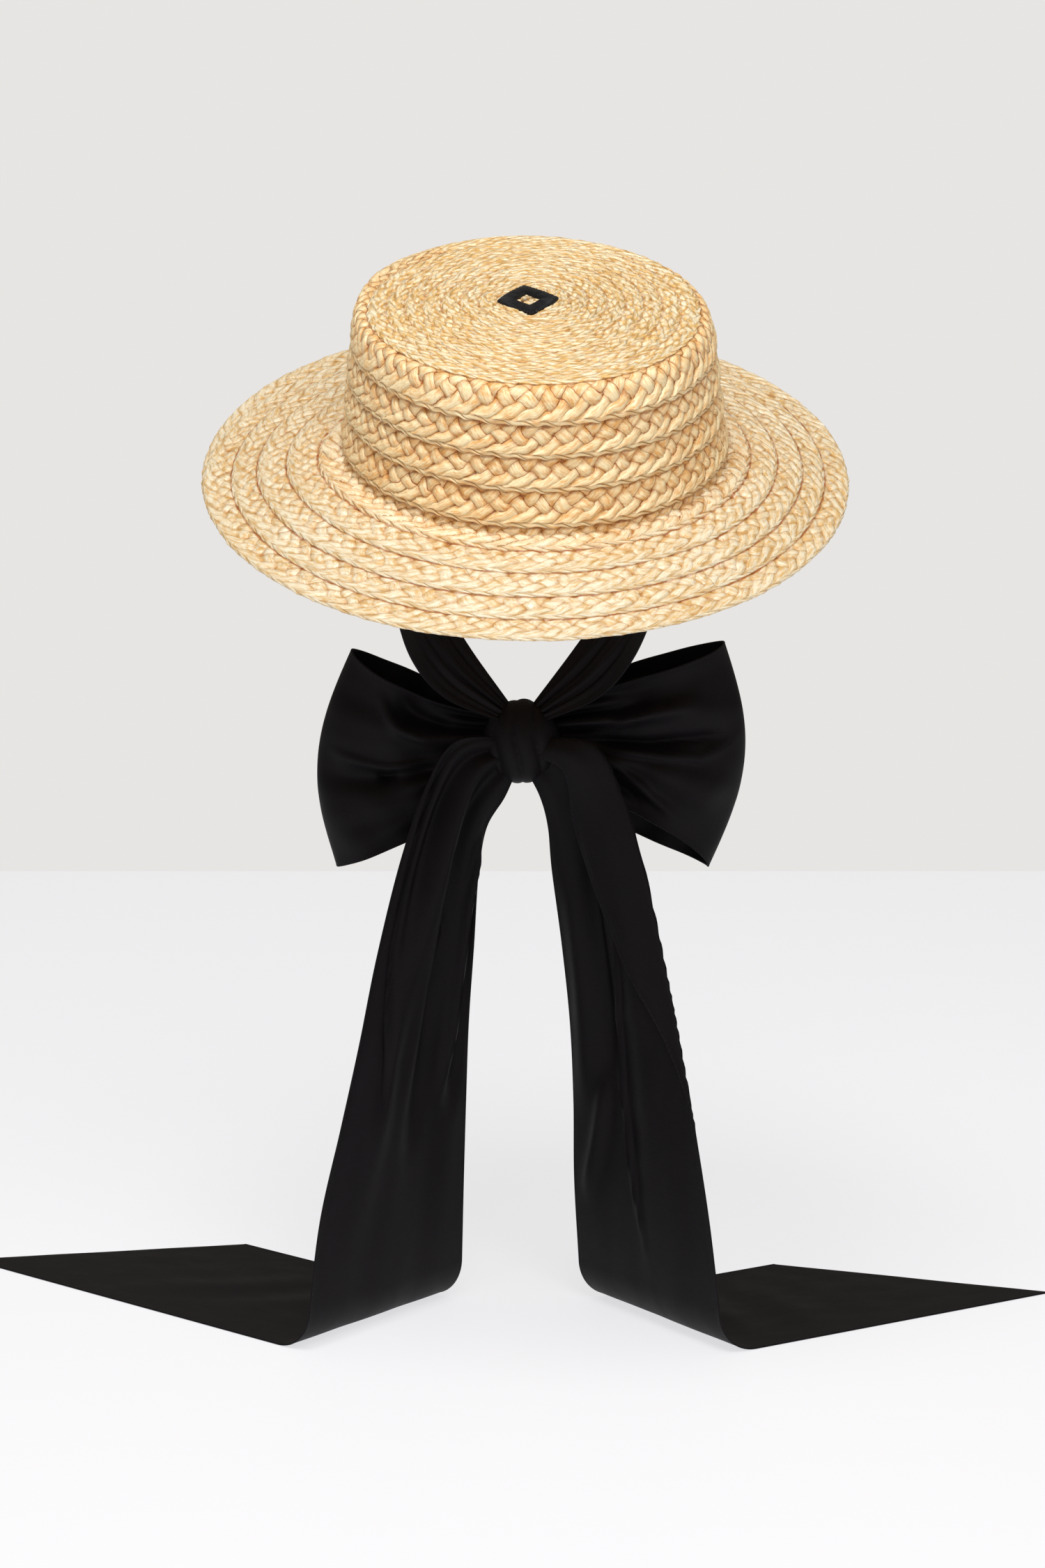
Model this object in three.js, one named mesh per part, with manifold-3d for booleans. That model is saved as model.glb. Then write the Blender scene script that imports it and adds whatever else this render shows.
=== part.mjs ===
// A boater of sewn raffia braid with a wide black ribbon tied in a bow at the nape.
// Millimetres, +Z up. -Y is the front of the hat, +X is right when seen from the front.
// The origin is the middle of the head opening, where the crown meets the brim.
import * as THREE from 'three';
import { mergeVertices } from 'three/addons/utils/BufferGeometryUtils.js';
import Module from 'manifold-3d';

const wasm = await Module();
wasm.setup();

// Sizes of the straw
const HAT_TILT = THREE.MathUtils.degToRad(19.2); // the front of the hat is worn low
const HAT_TURN = THREE.MathUtils.degToRad(6); // about its own axis, the front to the right
const AROUND = 64; // facets round the head
const STRAW = 2.0; // thickness of the braid wall
const GAP = 0.3; // clearance between pieces that touch
const CROWN = { baseWidth: 174, baseLength: 204, topWidth: 158, topLength: 199, height: 68 };
const CROWN_LEAN = -1; // how far to the right the middle of the top stands from that of the base
const CROWN_DOME = 5; // rise of the crown's top from its rim to its middle
const TOP_ROWS = 9; // rounds of braid on the crown's top
const SIDE_ROWS = 4; // rounds of braid on the crown's side
const TOP_LIP = 0.9; // step at the outer edge of a round on the top
const SIDE_LIP = 1.4; // step at the lower edge of a round on the side
const LIP_SLANT = 0.4; // how far a step between two rounds slants
const RIM_DROP = 3.5; // the last round of the top rolls down over the side by this much
const RIM_ROLL = { out: 1, sunk: 0.35 }; // where the roll turns down, and its share of the drop
const RIM_EDGE = 1.6; // how far the rolled edge stands out from the side
const INSIDE_BEVEL = { in: 3, down: 2 }; // inside, where the top meets the side
const INSIDE_DOME = { out: 0.5, rise: 0.75 }; // a ring of the top's inside, as shares
const BRIM_ROWS = 5;
const BRIM_LIP = 1.1;
const BRIM_SINK = 0.2; // a round's inner edge lies this far below the brim's middle surface
const BRIM_TUCK = { first: 0.07, other: 0.008 }; // where a round comes out, past the one above it
const DROOP_START = 0.25; // the share of the droop that the brim has at the crown
const BRIM_WIDTH = { left: 69, right: 60 }; // sloped width, wider on the left
const BRIM_DROOP = {
  front: THREE.MathUtils.degToRad(20),
  back: THREE.MathUtils.degToRad(3),
};

// Sizes of the ribbon
const RIBBON_WIDTH = 118;
const CLOTH = 1.2; // thickness of the doubled ribbon
const FLOOR = -437; // height of the surface that the tails reach and lie on
const KNOT = { x: -6, y: 76, z: -147, width: 34, depth: 30, height: 42 };
const KNOT_FURROWS = { count: 5, depth: 0.06 };
const KNOT_SQUARE = 0.12; // how much fuller the knot is than an ellipsoid
const KNOT_FACETS = { around: 20, up: 12 };
const TIE_STEPS = 9;
const TIE_FACETS = 6;
const LOOP_STEPS = 18;
const LOOP_FACETS = 10;
const TAIL_STEPS = { hanging: 10, curl: 5, lying: 3 };
const TAIL_FACETS = 18;
const CURL_RADIUS = 22; // of the bend where a tail meets the surface

// A tie is sewn inside the crown from one angle to another and runs round the head to the knot.
// front and back are its two edges on the right side; the left one mirrors them about the knot.
const TIE_SEAM = { height: 9, fromAngle: -6, toAngle: 24 }; // degrees from straight right
const TIE_SLACK = 0.3; // extra room between the seam and the crown
const TIE_BOW = 3.5; // how far the tie's middle bulges past its edges, round the head
const TIE_BOW_END = 1.4; // the bulge is gone by one part in this many of the tie's length
const TIE_FACING = 0.7; // how far back a tie faces for each unit that it faces sideways
const TIE_SHIFT_DEPTH = 110; // at this depth a tie has come into line with the knot
const TIE_PATH = [
  { frontX: 72, frontY: 20, frontZ: -36, backX: 69, backY: 58, backZ: -12 },
  { frontX: 63, frontY: 37, frontZ: -74, backX: 55, backY: 74, backZ: -46 },
  { frontX: 53, frontY: 50, frontZ: -104, backX: 40, backY: 81, backZ: -79 },
  { frontX: 37, frontY: 61, frontZ: -124, backX: 26, backY: 80, backZ: -101 },
  { frontX: 9, frontY: 68, frontZ: -137, backX: 6, backY: 75, backZ: -128 },
];

// The outer end of each loop of the bow: its two tips, how far its middle swells past them,
// and how quickly its two edges fan out from the knot (below 1 is a full edge).
const LOOPS = [
  {
    name: 'bow_loop_left', side: -1,
    topX: -89, topZ: -103, bottomX: -97, bottomZ: -211, swell: 13,
    topFan: 1.0, bottomFan: 0.62, depth: 17, lean: 8,
  },
  {
    name: 'bow_loop_right', side: 1,
    topX: 93, topZ: -99, bottomX: 86, bottomZ: -211, swell: 14,
    topFan: 0.62, bottomFan: 0.66, depth: 17, lean: 6,
  },
];
const LOOP_PLEATS = 2.5; // waves across the ribbon where the knot gathers it
const LOOP_PLEAT_DEPTH = { knot: 5.5, end: 1.6 };
const LOOP_BACK_PLEATS = 0.6; // depth of the pleats behind, as a share of those in front
const LOOP_START = 0.22; // the teardrop is cut short where the knot holds it
const LOOP_GATHER = 4; // the pleats reach their depth within one part in this many of the loop
const LOOP_ROOT = { out: 0.3, rise: 15, back: 4, mouth: 3 }; // where a loop leaves the knot

// Each tail: the two edges of its sections from the knot down, the depth of its folds, and
// the width of the strip that is folded forward over the right edge.
const TAILS = [
  {
    name: 'tail_left', folds: 2.5, turn: 0.0,
    heading: { x: -0.748, y: 0.664 }, lengthAtLeft: 229, lengthAtRight: 134,
    sections: [
      { leftX: -13, leftY: 69, leftZ: -144, rightX: -8, rightY: 72, rightZ: -160, fold: 1, flap: 0 },
      { leftX: -38, leftY: 59, leftZ: -145, rightX: -14, rightY: 73, rightZ: -174, fold: 4, flap: 0 },
      { leftX: -52, leftY: 56.5, leftZ: -166, rightX: -23, rightY: 79, rightZ: -190, fold: 6.5, flap: 0 },
      { leftX: -64.5, leftY: 53, leftZ: -202, rightX: -27, rightY: 83.5, rightZ: -212, fold: 7.5, flap: 0 },
      { leftX: -76, leftY: 44, leftZ: -248, rightX: -29.5, rightY: 88, rightZ: -250, fold: 7.5, flap: 0 },
      { leftX: -84.5, leftY: 35.5, leftZ: -290, rightX: -32.3, rightY: 92, rightZ: -290, fold: 6.5, flap: 0 },
      { leftX: -93.4, leftY: 27.9, leftZ: -330, rightX: -33.8, rightY: 96.5, rightZ: -330, fold: 5, flap: 0 },
      { leftX: -103, leftY: 20, leftZ: -372, rightX: -35.1, rightY: 101, rightZ: -372, fold: 2.5, flap: 0 },
      { leftX: -108.5, leftY: 12, leftZ: -415, rightX: -36.2, rightY: 105, rightZ: -415, fold: 0.3, flap: 0 },
    ],
  },
  {
    name: 'tail_right', folds: 1.5, turn: 0.5,
    heading: { x: 0.848, y: 0.53 }, lengthAtLeft: 99, lengthAtRight: 183,
    sections: [
      { leftX: -4, leftY: 72, leftZ: -160, rightX: 1, rightY: 69, rightZ: -144, fold: 1, flap: 8 },
      { leftX: 3, leftY: 73, leftZ: -174, rightX: 29, rightY: 59, rightZ: -146, fold: 3, flap: 20 },
      { leftX: 7, leftY: 79, leftZ: -190, rightX: 43, rightY: 58, rightZ: -170, fold: 4.5, flap: 29 },
      { leftX: 9, leftY: 83.5, leftZ: -212, rightX: 54, rightY: 52, rightZ: -206, fold: 5, flap: 31 },
      { leftX: 14, leftY: 89, leftZ: -250, rightX: 63.5, rightY: 43, rightZ: -250, fold: 5, flap: 24 },
      { leftX: 18.2, leftY: 92.5, leftZ: -290, rightX: 71.3, rightY: 34, rightZ: -290, fold: 4.5, flap: 9 },
      { leftX: 20.1, leftY: 97, leftZ: -330, rightX: 77.9, rightY: 25.1, rightZ: -330, fold: 4, flap: 0 },
      { leftX: 20.6, leftY: 101, leftZ: -372, rightX: 84.4, rightY: 17, rightZ: -372, fold: 2.5, flap: 0 },
      { leftX: 23, leftY: 105, leftZ: -415, rightX: 89.5, rightY: 8, rightZ: -415, fold: 0.3, flap: 0 },
    ],
  },
];
const FLAP_STAND_OFF = 5; // how far the folded strip stands in front of the ribbon under it
const FLAP_FOLD = 4; // the strip stands off within one part in this many of the tail's width
const FLAP_LARGEST = 0.45; // share of the ribbon that the strip can take
const FLAP_WAVES = 0.3; // depth of the folds on the strip, as a share of those under it

// Sizes of the stitched lozenge on the crown's top
const MOTIF = { x: -3.5, y: -4, width: 28, length: 36, window: 0.42, thickness: 1 };

// Materials
const straw = (color) => new THREE.MeshStandardMaterial({ color, roughness: 0.6, metalness: 0 });
const cloth = () => new THREE.MeshStandardMaterial({ color: 0x121317, roughness: 0.55, metalness: 0 });
const thread = () => new THREE.MeshStandardMaterial({ color: 0x17181c, roughness: 0.45, metalness: 0 });

// A closed mesh through rings of points. Each ring has the same number of points, going the
// same way round. A ring of one point is a pole. When the rings loop, the last joins the first.
function skin(rings, loops = false) {
  const position = [];
  const start = rings.map((ring) => {
    const first = position.length / 3;
    ring.forEach((p) => position.push(p.x, p.y, p.z));
    return first;
  });
  const index = [];
  const count = loops ? rings.length : rings.length - 1;
  for (let i = 0; i < count; i += 1) {
    const next = (i + 1) % rings.length;
    const [a, b] = [rings[i], rings[next]];
    const n = Math.max(a.length, b.length);
    for (let j = 0; j < n; j += 1) {
      const k = (j + 1) % n;
      const at = (row, size, m) => start[row] + (size === 1 ? 0 : m);
      if (a.length > 1) index.push(at(i, a.length, j), at(i, a.length, k), at(next, b.length, j));
      if (b.length > 1) index.push(at(i, a.length, k), at(next, b.length, k), at(next, b.length, j));
    }
  }
  return geometryFrom(position, index);
}

function geometryFrom(position, index) {
  const geometry = new THREE.BufferGeometry();
  geometry.setAttribute('position', new THREE.Float32BufferAttribute(position, 3));
  geometry.setIndex(index);
  return facingOut(geometry);
}

// Turns every triangle round when the body they close has a negative volume.
function facingOut(geometry) {
  const p = geometry.attributes.position;
  const index = geometry.index.array;
  const corner = (i) => new THREE.Vector3().fromBufferAttribute(p, index[i]);
  let volume = 0;
  for (let i = 0; i < index.length; i += 3) {
    volume += corner(i).dot(corner(i + 1).cross(corner(i + 2)));
  }
  if (volume < 0) {
    for (let i = 0; i < index.length; i += 3) [index[i], index[i + 1]] = [index[i + 1], index[i]];
  }
  geometry.computeVertexNormals();
  return geometry;
}

// A sheet of even thickness about the surface point(u, v), both from 0 to 1. Each section
// across u is a flat closed ring, and the two ends are closed by a ladder of triangles.
function sheet(point, steps, facets, thickness) {
  const grid = [];
  for (let i = 0; i <= steps; i += 1) {
    grid.push(Array.from({ length: facets + 1 }, (_, j) => point(i / steps, j / facets)));
  }
  const normal = (i, j) => {
    const along = grid[Math.min(i + 1, steps)][j].clone().sub(grid[Math.max(i - 1, 0)][j]);
    const across = grid[i][Math.min(j + 1, facets)].clone().sub(grid[i][Math.max(j - 1, 0)]);
    return along.cross(across).normalize();
  };
  const position = [];
  for (let i = 0; i <= steps; i += 1) {
    for (const side of [0.5, -0.5]) {
      for (let j = 0; j <= facets; j += 1) {
        const p = grid[i][j].clone().addScaledVector(normal(i, j), side * thickness);
        position.push(p.x, p.y, p.z);
      }
    }
  }
  const at = (i, side, j) => (i * 2 + side) * (facets + 1) + j;
  const index = [];
  const quad = (a, b, c, d) => index.push(a, b, c, a, c, d);
  for (let i = 0; i < steps; i += 1) {
    for (let j = 0; j < facets; j += 1) {
      quad(at(i, 0, j), at(i + 1, 0, j), at(i + 1, 0, j + 1), at(i, 0, j + 1));
      quad(at(i, 1, j), at(i, 1, j + 1), at(i + 1, 1, j + 1), at(i + 1, 1, j));
    }
    quad(at(i, 1, 0), at(i + 1, 1, 0), at(i + 1, 0, 0), at(i, 0, 0));
    quad(at(i, 0, facets), at(i + 1, 0, facets), at(i + 1, 1, facets), at(i, 1, facets));
  }
  for (let j = 0; j < facets; j += 1) {
    quad(at(0, 1, j), at(0, 0, j), at(0, 0, j + 1), at(0, 1, j + 1));
    quad(at(steps, 0, j), at(steps, 1, j), at(steps, 1, j + 1), at(steps, 0, j + 1));
  }
  return geometryFrom(position, index);
}

// A smooth curve through the table's rows, by three of its columns.
function through(rows, x, y, z) {
  const points = rows.map((row) => new THREE.Vector3(row[x] ?? 0, row[y] ?? 0, row[z] ?? 0));
  return new THREE.CatmullRomCurve3(points, false, 'catmullrom', 0.5);
}

// A point of the crown's upright oval at a height: its half width a and its half length b.
function ovalPoint(a, b, z, angle) {
  const lean = CROWN_LEAN * (z / CROWN.height);
  return new THREE.Vector3(lean + a * Math.cos(angle), b * Math.sin(angle), z);
}

// A level oval ring of the crown, of half width a and half length b.
function oval(a, b, z) {
  return Array.from({ length: AROUND }, (_, i) => ovalPoint(a, b, z, (2 * Math.PI * i) / AROUND));
}

// Half width and half length of the crown's side at a height, before its rounds stand proud.
function crownHalf(z) {
  const t = z / CROWN.height;
  return {
    a: THREE.MathUtils.lerp(CROWN.baseWidth, CROWN.topWidth, t) / 2,
    b: THREE.MathUtils.lerp(CROWN.baseLength, CROWN.topLength, t) / 2,
  };
}

// Crown: a hollow cap. Rounds of braid overlap like shingles, so each one's outer or lower
// edge stands proud of the next. The inside is plain.
function crown() {
  const rim = crownHalf(CROWN.height);
  const topHeight = (k) => CROWN.height + CROWN_DOME * (1 - k * k);
  const rings = [[ovalPoint(0, 0, topHeight(0), 0)]];
  for (let row = 1; row <= TOP_ROWS; row += 1) {
    const k = row / TOP_ROWS;
    const last = row === TOP_ROWS;
    const roll = last ? RIM_ROLL.out : 0;
    const sunk = last ? RIM_DROP * RIM_ROLL.sunk : 0;
    const edge = last ? RIM_EDGE : LIP_SLANT;
    const step = last ? RIM_DROP : TOP_LIP;
    rings.push(oval(rim.a * k + roll, rim.b * k + roll, topHeight(k) - sunk));
    rings.push(oval(rim.a * k + edge, rim.b * k + edge, topHeight(k) - step));
  }
  const top = CROWN.height - RIM_DROP - LIP_SLANT;
  for (let row = 0; row < SIDE_ROWS; row += 1) {
    const from = top - ((top - GAP) * row) / SIDE_ROWS;
    const to = top - ((top - GAP) * (row + 1)) / SIDE_ROWS;
    const upper = crownHalf(from);
    const lower = crownHalf(to);
    const last = row === SIDE_ROWS - 1;
    rings.push(oval(upper.a, upper.b, from));
    rings.push(oval(lower.a + SIDE_LIP, lower.b + SIDE_LIP, to + (last ? 0 : LIP_SLANT)));
  }
  const base = crownHalf(GAP);
  const under = CROWN.height - STRAW - TOP_LIP;
  const shoulder = crownHalf(under);
  const inner = { a: shoulder.a - STRAW, b: shoulder.b - STRAW };
  const ceiling = under + CROWN_DOME * INSIDE_DOME.rise;
  rings.push(oval(base.a - STRAW, base.b - STRAW, GAP));
  rings.push(oval(inner.a, inner.b, under - INSIDE_BEVEL.down));
  rings.push(oval(inner.a - INSIDE_BEVEL.in, inner.b - INSIDE_BEVEL.in, under));
  rings.push(oval(shoulder.a * INSIDE_DOME.out, shoulder.b * INSIDE_DOME.out, ceiling));
  rings.push([ovalPoint(0, 0, under + CROWN_DOME, 0)]);
  return skin(rings);
}

// A point of the brim: the angle round the head, the share of the way out to the edge, and
// the height above its middle surface. The droop is most at the front, least at the back.
function brimPoint(angle, out, above) {
  const half = { a: CROWN.baseWidth / 2 - STRAW, b: CROWN.baseLength / 2 - STRAW };
  const foot = new THREE.Vector3(half.a * Math.cos(angle), half.b * Math.sin(angle), 0);
  const away = new THREE.Vector3(Math.cos(angle) / half.a, Math.sin(angle) / half.b, 0).normalize();
  const middle = (BRIM_WIDTH.left + BRIM_WIDTH.right) / 2;
  const width = middle - ((BRIM_WIDTH.left - BRIM_WIDTH.right) / 2) * Math.cos(angle) + STRAW;
  const droop = THREE.MathUtils.lerp(BRIM_DROOP.back, BRIM_DROOP.front, (1 - Math.sin(angle)) / 2);
  const reach = out * width;
  foot.addScaledVector(away, reach * Math.cos(droop) + above * Math.sin(droop));
  const sloping = Math.min(1, DROOP_START + out);
  foot.z += -reach * Math.sin(droop) * sloping + above * Math.cos(droop);
  return foot;
}

// Brim: a closed ring whose rounds overlap outwards, flat below.
function brim() {
  const ring = (out, above) => Array.from({ length: AROUND }, (_, i) => (
    brimPoint((2 * Math.PI * i) / AROUND, out, above)
  ));
  const rings = [ring(0, 0)];
  for (let row = 1; row <= BRIM_ROWS; row += 1) {
    const from = row === 1 ? BRIM_TUCK.first : (row - 1) / BRIM_ROWS + BRIM_TUCK.other;
    rings.push(ring(from, -BRIM_SINK));
    rings.push(ring(row / BRIM_ROWS, BRIM_LIP - BRIM_SINK));
  }
  rings.push(ring(1.0, -STRAW));
  rings.push(ring(0.5, -STRAW));
  rings.push(ring(0, -STRAW));
  return skin(rings, true);
}

// A stitched lozenge with an open middle, lying on the crown's top.
function motif() {
  const lozenge = (scale, path) => {
    const [x, y] = [(MOTIF.width / 2) * scale, (MOTIF.length / 2) * scale];
    path.moveTo(x, 0);
    path.lineTo(0, y);
    path.lineTo(-x, 0);
    path.lineTo(0, -y);
    path.closePath();
    return path;
  };
  const shape = lozenge(1, new THREE.Shape());
  shape.holes.push(lozenge(MOTIF.window, new THREE.Path()));
  const geometry = new THREE.ExtrudeGeometry(shape, { depth: MOTIF.thickness, bevelEnabled: false });
  geometry.translate(MOTIF.x, MOTIF.y, CROWN.height + CROWN_DOME + GAP);
  return geometry;
}

// One tie: from its seam inside the crown, down round the side of the head to the knot.
function tie(side) {
  const half = crownHalf(TIE_SEAM.height);
  const inset = STRAW + GAP + CLOTH / 2 + TIE_SLACK;
  const sewn = (degrees) => {
    const angle = THREE.MathUtils.degToRad(side > 0 ? degrees : 180 - degrees);
    const p = ovalPoint(half.a - inset, half.b - inset, TIE_SEAM.height, angle);
    return p.applyEuler(new THREE.Euler(HAT_TILT, 0, HAT_TURN));
  };
  const place = (x, y, z) => {
    const shift = KNOT.x * Math.min(1, -z / TIE_SHIFT_DEPTH);
    return new THREE.Vector3(side * x + shift, y, z);
  };
  const edge = (degrees, x, y, z) => new THREE.CatmullRomCurve3([
    sewn(degrees),
    ...TIE_PATH.map((row) => place(row[x], row[y], row[z])),
  ], false, 'catmullrom', 0.5);
  const front = edge(TIE_SEAM.fromAngle, 'frontX', 'frontY', 'frontZ');
  const back = edge(TIE_SEAM.toAngle, 'backX', 'backY', 'backZ');
  return sheet((u, v) => {
    const p = front.getPoint(u).lerp(back.getPoint(u), v);
    const outward = new THREE.Vector3(side, TIE_FACING, 0).normalize();
    const round = Math.sin(Math.PI * v) * Math.sin(Math.PI * Math.min(1, u * TIE_BOW_END));
    return p.addScaledVector(outward, TIE_BOW * round);
  }, TIE_STEPS, TIE_FACETS, CLOTH);
}

// The knot: a puffed cushion of cloth with upright furrows, larger all round by swell.
function knot(swell = 0) {
  const geometry = new THREE.SphereGeometry(1, KNOT_FACETS.around, KNOT_FACETS.up);
  geometry.deleteAttribute('normal');
  geometry.deleteAttribute('uv');
  const p = geometry.attributes.position;
  for (let i = 0; i < p.count; i += 1) {
    const v = new THREE.Vector3().fromBufferAttribute(p, i);
    const valley = Math.cos(KNOT_FURROWS.count * Math.PI * v.x);
    const furrow = 1 - KNOT_FURROWS.depth * valley * (1 - v.z * v.z);
    const square = 1 + KNOT_SQUARE * (1 - Math.pow(Math.abs(v.z), 3));
    v.set(
      v.x * ((KNOT.width * square) / 2 + swell),
      v.y * ((KNOT.depth * furrow * square) / 2 + swell),
      v.z * (KNOT.height / 2 + swell),
    );
    p.setXYZ(i, v.x + KNOT.x, v.y + KNOT.y, v.z + KNOT.z);
  }
  return geometry;
}

// One loop of the bow. The ribbon runs out from the knot in front, turns at the outer end and
// comes back behind. Seen from above it is a teardrop, and pleats fan out from the knot.
function loop(shape) {
  const rootX = KNOT.x + shape.side * KNOT.width * LOOP_ROOT.out;
  const rootZ = { top: KNOT.z + LOOP_ROOT.rise, bottom: KNOT.z - LOOP_ROOT.rise };
  const turn = 2 * Math.PI;
  return sheet((u, v) => {
    const phi = THREE.MathUtils.lerp(LOOP_START, turn - LOOP_START, u);
    const out = (1 - Math.cos(phi)) / 2;
    const endX = THREE.MathUtils.lerp(shape.topX, shape.bottomX, v)
      + shape.side * shape.swell * Math.sin(Math.PI * v);
    const top = THREE.MathUtils.lerp(rootZ.top, shape.topZ, out ** shape.topFan);
    const bottom = THREE.MathUtils.lerp(rootZ.bottom, shape.bottomZ, out ** shape.bottomFan);
    const pleat = THREE.MathUtils.lerp(LOOP_PLEAT_DEPTH.knot, LOOP_PLEAT_DEPTH.end, out)
      * Math.sin(turn * LOOP_PLEATS * v)
      * Math.sin(Math.PI * Math.min(1, out * LOOP_GATHER) / 2)
      * (u < 0.5 ? 1 : LOOP_BACK_PLEATS);
    const open = shape.depth * Math.sin(phi) * Math.sin(phi / 2) ** 2
      + LOOP_ROOT.mouth * Math.cos(phi / 2);
    return new THREE.Vector3(
      THREE.MathUtils.lerp(rootX, endX, out),
      KNOT.y + LOOP_ROOT.back + shape.lean * out - open + pleat,
      THREE.MathUtils.lerp(top, bottom, v),
    );
  }, LOOP_STEPS, LOOP_FACETS, CLOTH);
}

// One tail. It hangs from the knot in folds that open out downwards, curls where it meets the
// surface and lies on it along its heading, and ends in a slanted cut.
function tail(shape) {
  const rows = shape.sections;
  const left = through(rows, 'leftX', 'leftY', 'leftZ');
  const right = through(rows, 'rightX', 'rightY', 'rightZ');
  const gather = through(rows, 'fold', 'flap');
  const heading = new THREE.Vector3(shape.heading.x, shape.heading.y, 0).normalize();
  const turn = 2 * Math.PI;

  // A section of the hanging part, t from the knot to where the curl begins.
  const hanging = (t, v) => {
    const [l, r, { x: fold, y: flap }] = [left.getPoint(t), right.getPoint(t), gather.getPoint(t)];
    const turned = Math.min(FLAP_LARGEST, Math.max(flap, 0) / RIBBON_WIDTH);
    const across = r.clone().sub(l);
    const face = new THREE.Vector3(across.y, -across.x, 0).normalize();
    const under = 1 - turned; // the share of the ribbon's width before the folded strip
    const back = v <= under;
    const folded = (v - under) / Math.max(turned, 1e-6);
    const share = back ? v / under : 1 - folded * (flap / across.length());
    const phase = turn * shape.folds * share + Math.PI * shape.turn;
    const wave = fold * Math.sin(phase) * Math.sin(Math.PI * share);
    const stand = FLAP_STAND_OFF * Math.min(1, (1 - share) * FLAP_FOLD);
    const depth = back ? wave : stand + wave * FLAP_WAVES;
    return l.addScaledVector(across, share).addScaledVector(face, depth);
  };
  const foot = (v) => hanging(1, v);
  const lying = (v) => THREE.MathUtils.lerp(shape.lengthAtLeft, shape.lengthAtRight, v);
  const total = TAIL_STEPS.hanging + TAIL_STEPS.curl + TAIL_STEPS.lying;
  return sheet((u, v) => {
    const step = u * total;
    if (step <= TAIL_STEPS.hanging) return hanging(step / TAIL_STEPS.hanging, v);
    const bend = Math.min(1, (step - TAIL_STEPS.hanging) / TAIL_STEPS.curl) * (Math.PI / 2);
    const p = foot(v);
    const rest = FLOOR + CLOTH / 2;
    p.addScaledVector(heading, CURL_RADIUS * (1 - Math.cos(bend)));
    p.z += (rest - p.z) * Math.sin(bend);
    const laid = Math.max(0, (step - TAIL_STEPS.hanging - TAIL_STEPS.curl) / TAIL_STEPS.lying);
    return p.addScaledVector(heading, laid * lying(v));
  }, total, TAIL_FACETS, CLOTH);
}

// A solid for cutting, with the vertices that faces share merged into one.
function solid(geometry) {
  const bare = new THREE.BufferGeometry();
  bare.setAttribute('position', geometry.attributes.position.clone());
  bare.setIndex(geometry.index);
  const whole = mergeVertices(bare, 1e-4);
  return new wasm.Manifold(new wasm.Mesh({
    numProp: 3,
    vertProperties: new Float32Array(whole.attributes.position.array),
    triVerts: new Uint32Array(whole.index.array),
  }));
}

// The geometry with the knot's place taken out of it, so that its end meets the knot.
function meetingKnot(geometry) {
  const cut = solid(geometry).subtract(solid(knot(GAP))).getMesh();
  return geometryFrom(Array.from(cut.vertProperties), Array.from(cut.triVerts));
}

function piece(name, geometry, material) {
  const mesh = new THREE.Mesh(geometry, material);
  mesh.name = name;
  return mesh;
}

const boater = new THREE.Group();
const hat = new THREE.Group();
hat.rotation.set(HAT_TILT, 0, HAT_TURN);
hat.add(piece('crown', crown(), straw(0xd9b77c)));
hat.add(piece('brim', brim(), straw(0xe6cd98)));
hat.add(piece('motif', motif(), thread()));
boater.add(hat);
boater.add(piece('tie_left', meetingKnot(tie(-1)), cloth()));
boater.add(piece('tie_right', meetingKnot(tie(1)), cloth()));
boater.add(piece('bow_knot', knot(), cloth()));
LOOPS.forEach((shape) => boater.add(piece(shape.name, meetingKnot(loop(shape)), cloth())));
TAILS.forEach((shape) => boater.add(piece(shape.name, meetingKnot(tail(shape)), cloth())));

export default boater;
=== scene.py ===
"""The looks of a raffia boater with a wide black ribbon tied in a bow.

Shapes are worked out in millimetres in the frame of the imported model, +Z up, -Y the front of the
hat, and become metres where a mesh is made. A shape is a function of two parameters on a grid.
"""

from math import cos, pi, radians, sin

import bmesh
import bpy
import numpy as np
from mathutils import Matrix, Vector


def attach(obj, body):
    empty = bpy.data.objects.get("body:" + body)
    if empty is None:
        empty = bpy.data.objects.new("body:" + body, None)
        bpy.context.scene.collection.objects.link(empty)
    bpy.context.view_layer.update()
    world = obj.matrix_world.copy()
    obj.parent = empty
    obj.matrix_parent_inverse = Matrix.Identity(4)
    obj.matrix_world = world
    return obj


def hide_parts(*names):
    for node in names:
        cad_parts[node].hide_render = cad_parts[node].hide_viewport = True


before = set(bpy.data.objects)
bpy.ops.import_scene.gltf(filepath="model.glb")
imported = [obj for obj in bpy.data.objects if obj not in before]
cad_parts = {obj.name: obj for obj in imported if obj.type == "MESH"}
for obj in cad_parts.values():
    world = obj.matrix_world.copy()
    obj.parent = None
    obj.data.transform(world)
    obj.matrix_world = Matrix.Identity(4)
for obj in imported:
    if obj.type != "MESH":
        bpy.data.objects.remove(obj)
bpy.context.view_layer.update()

MM = 0.001
TURN = 2 * pi

# Sizes of the straw
HAT_TILT = radians(19.2)  # how far the front is tipped down
HAT_TURN = radians(6)  # about its own axis, the front to the right
CROWN = {"base_width": 174, "base_length": 204, "top_width": 158, "top_length": 199, "height": 68}
CROWN_LEAN = -1.0  # how far to the right the middle of the top stands from that of the base
CROWN_DOME = 5.0  # rise of the top from its rim to its middle
TOP_ROWS, SIDE_ROWS, BRIM_ROWS = 9, 4, 5
BRIM_WIDTH = {"left": 69, "right": 60}
BRIM_DROOP = {"front": radians(20), "back": radians(3)}
STRAW = 2.0  # thickness of the wall
DROOP_START = 0.25  # the share of the droop that the brim has at the crown

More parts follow.
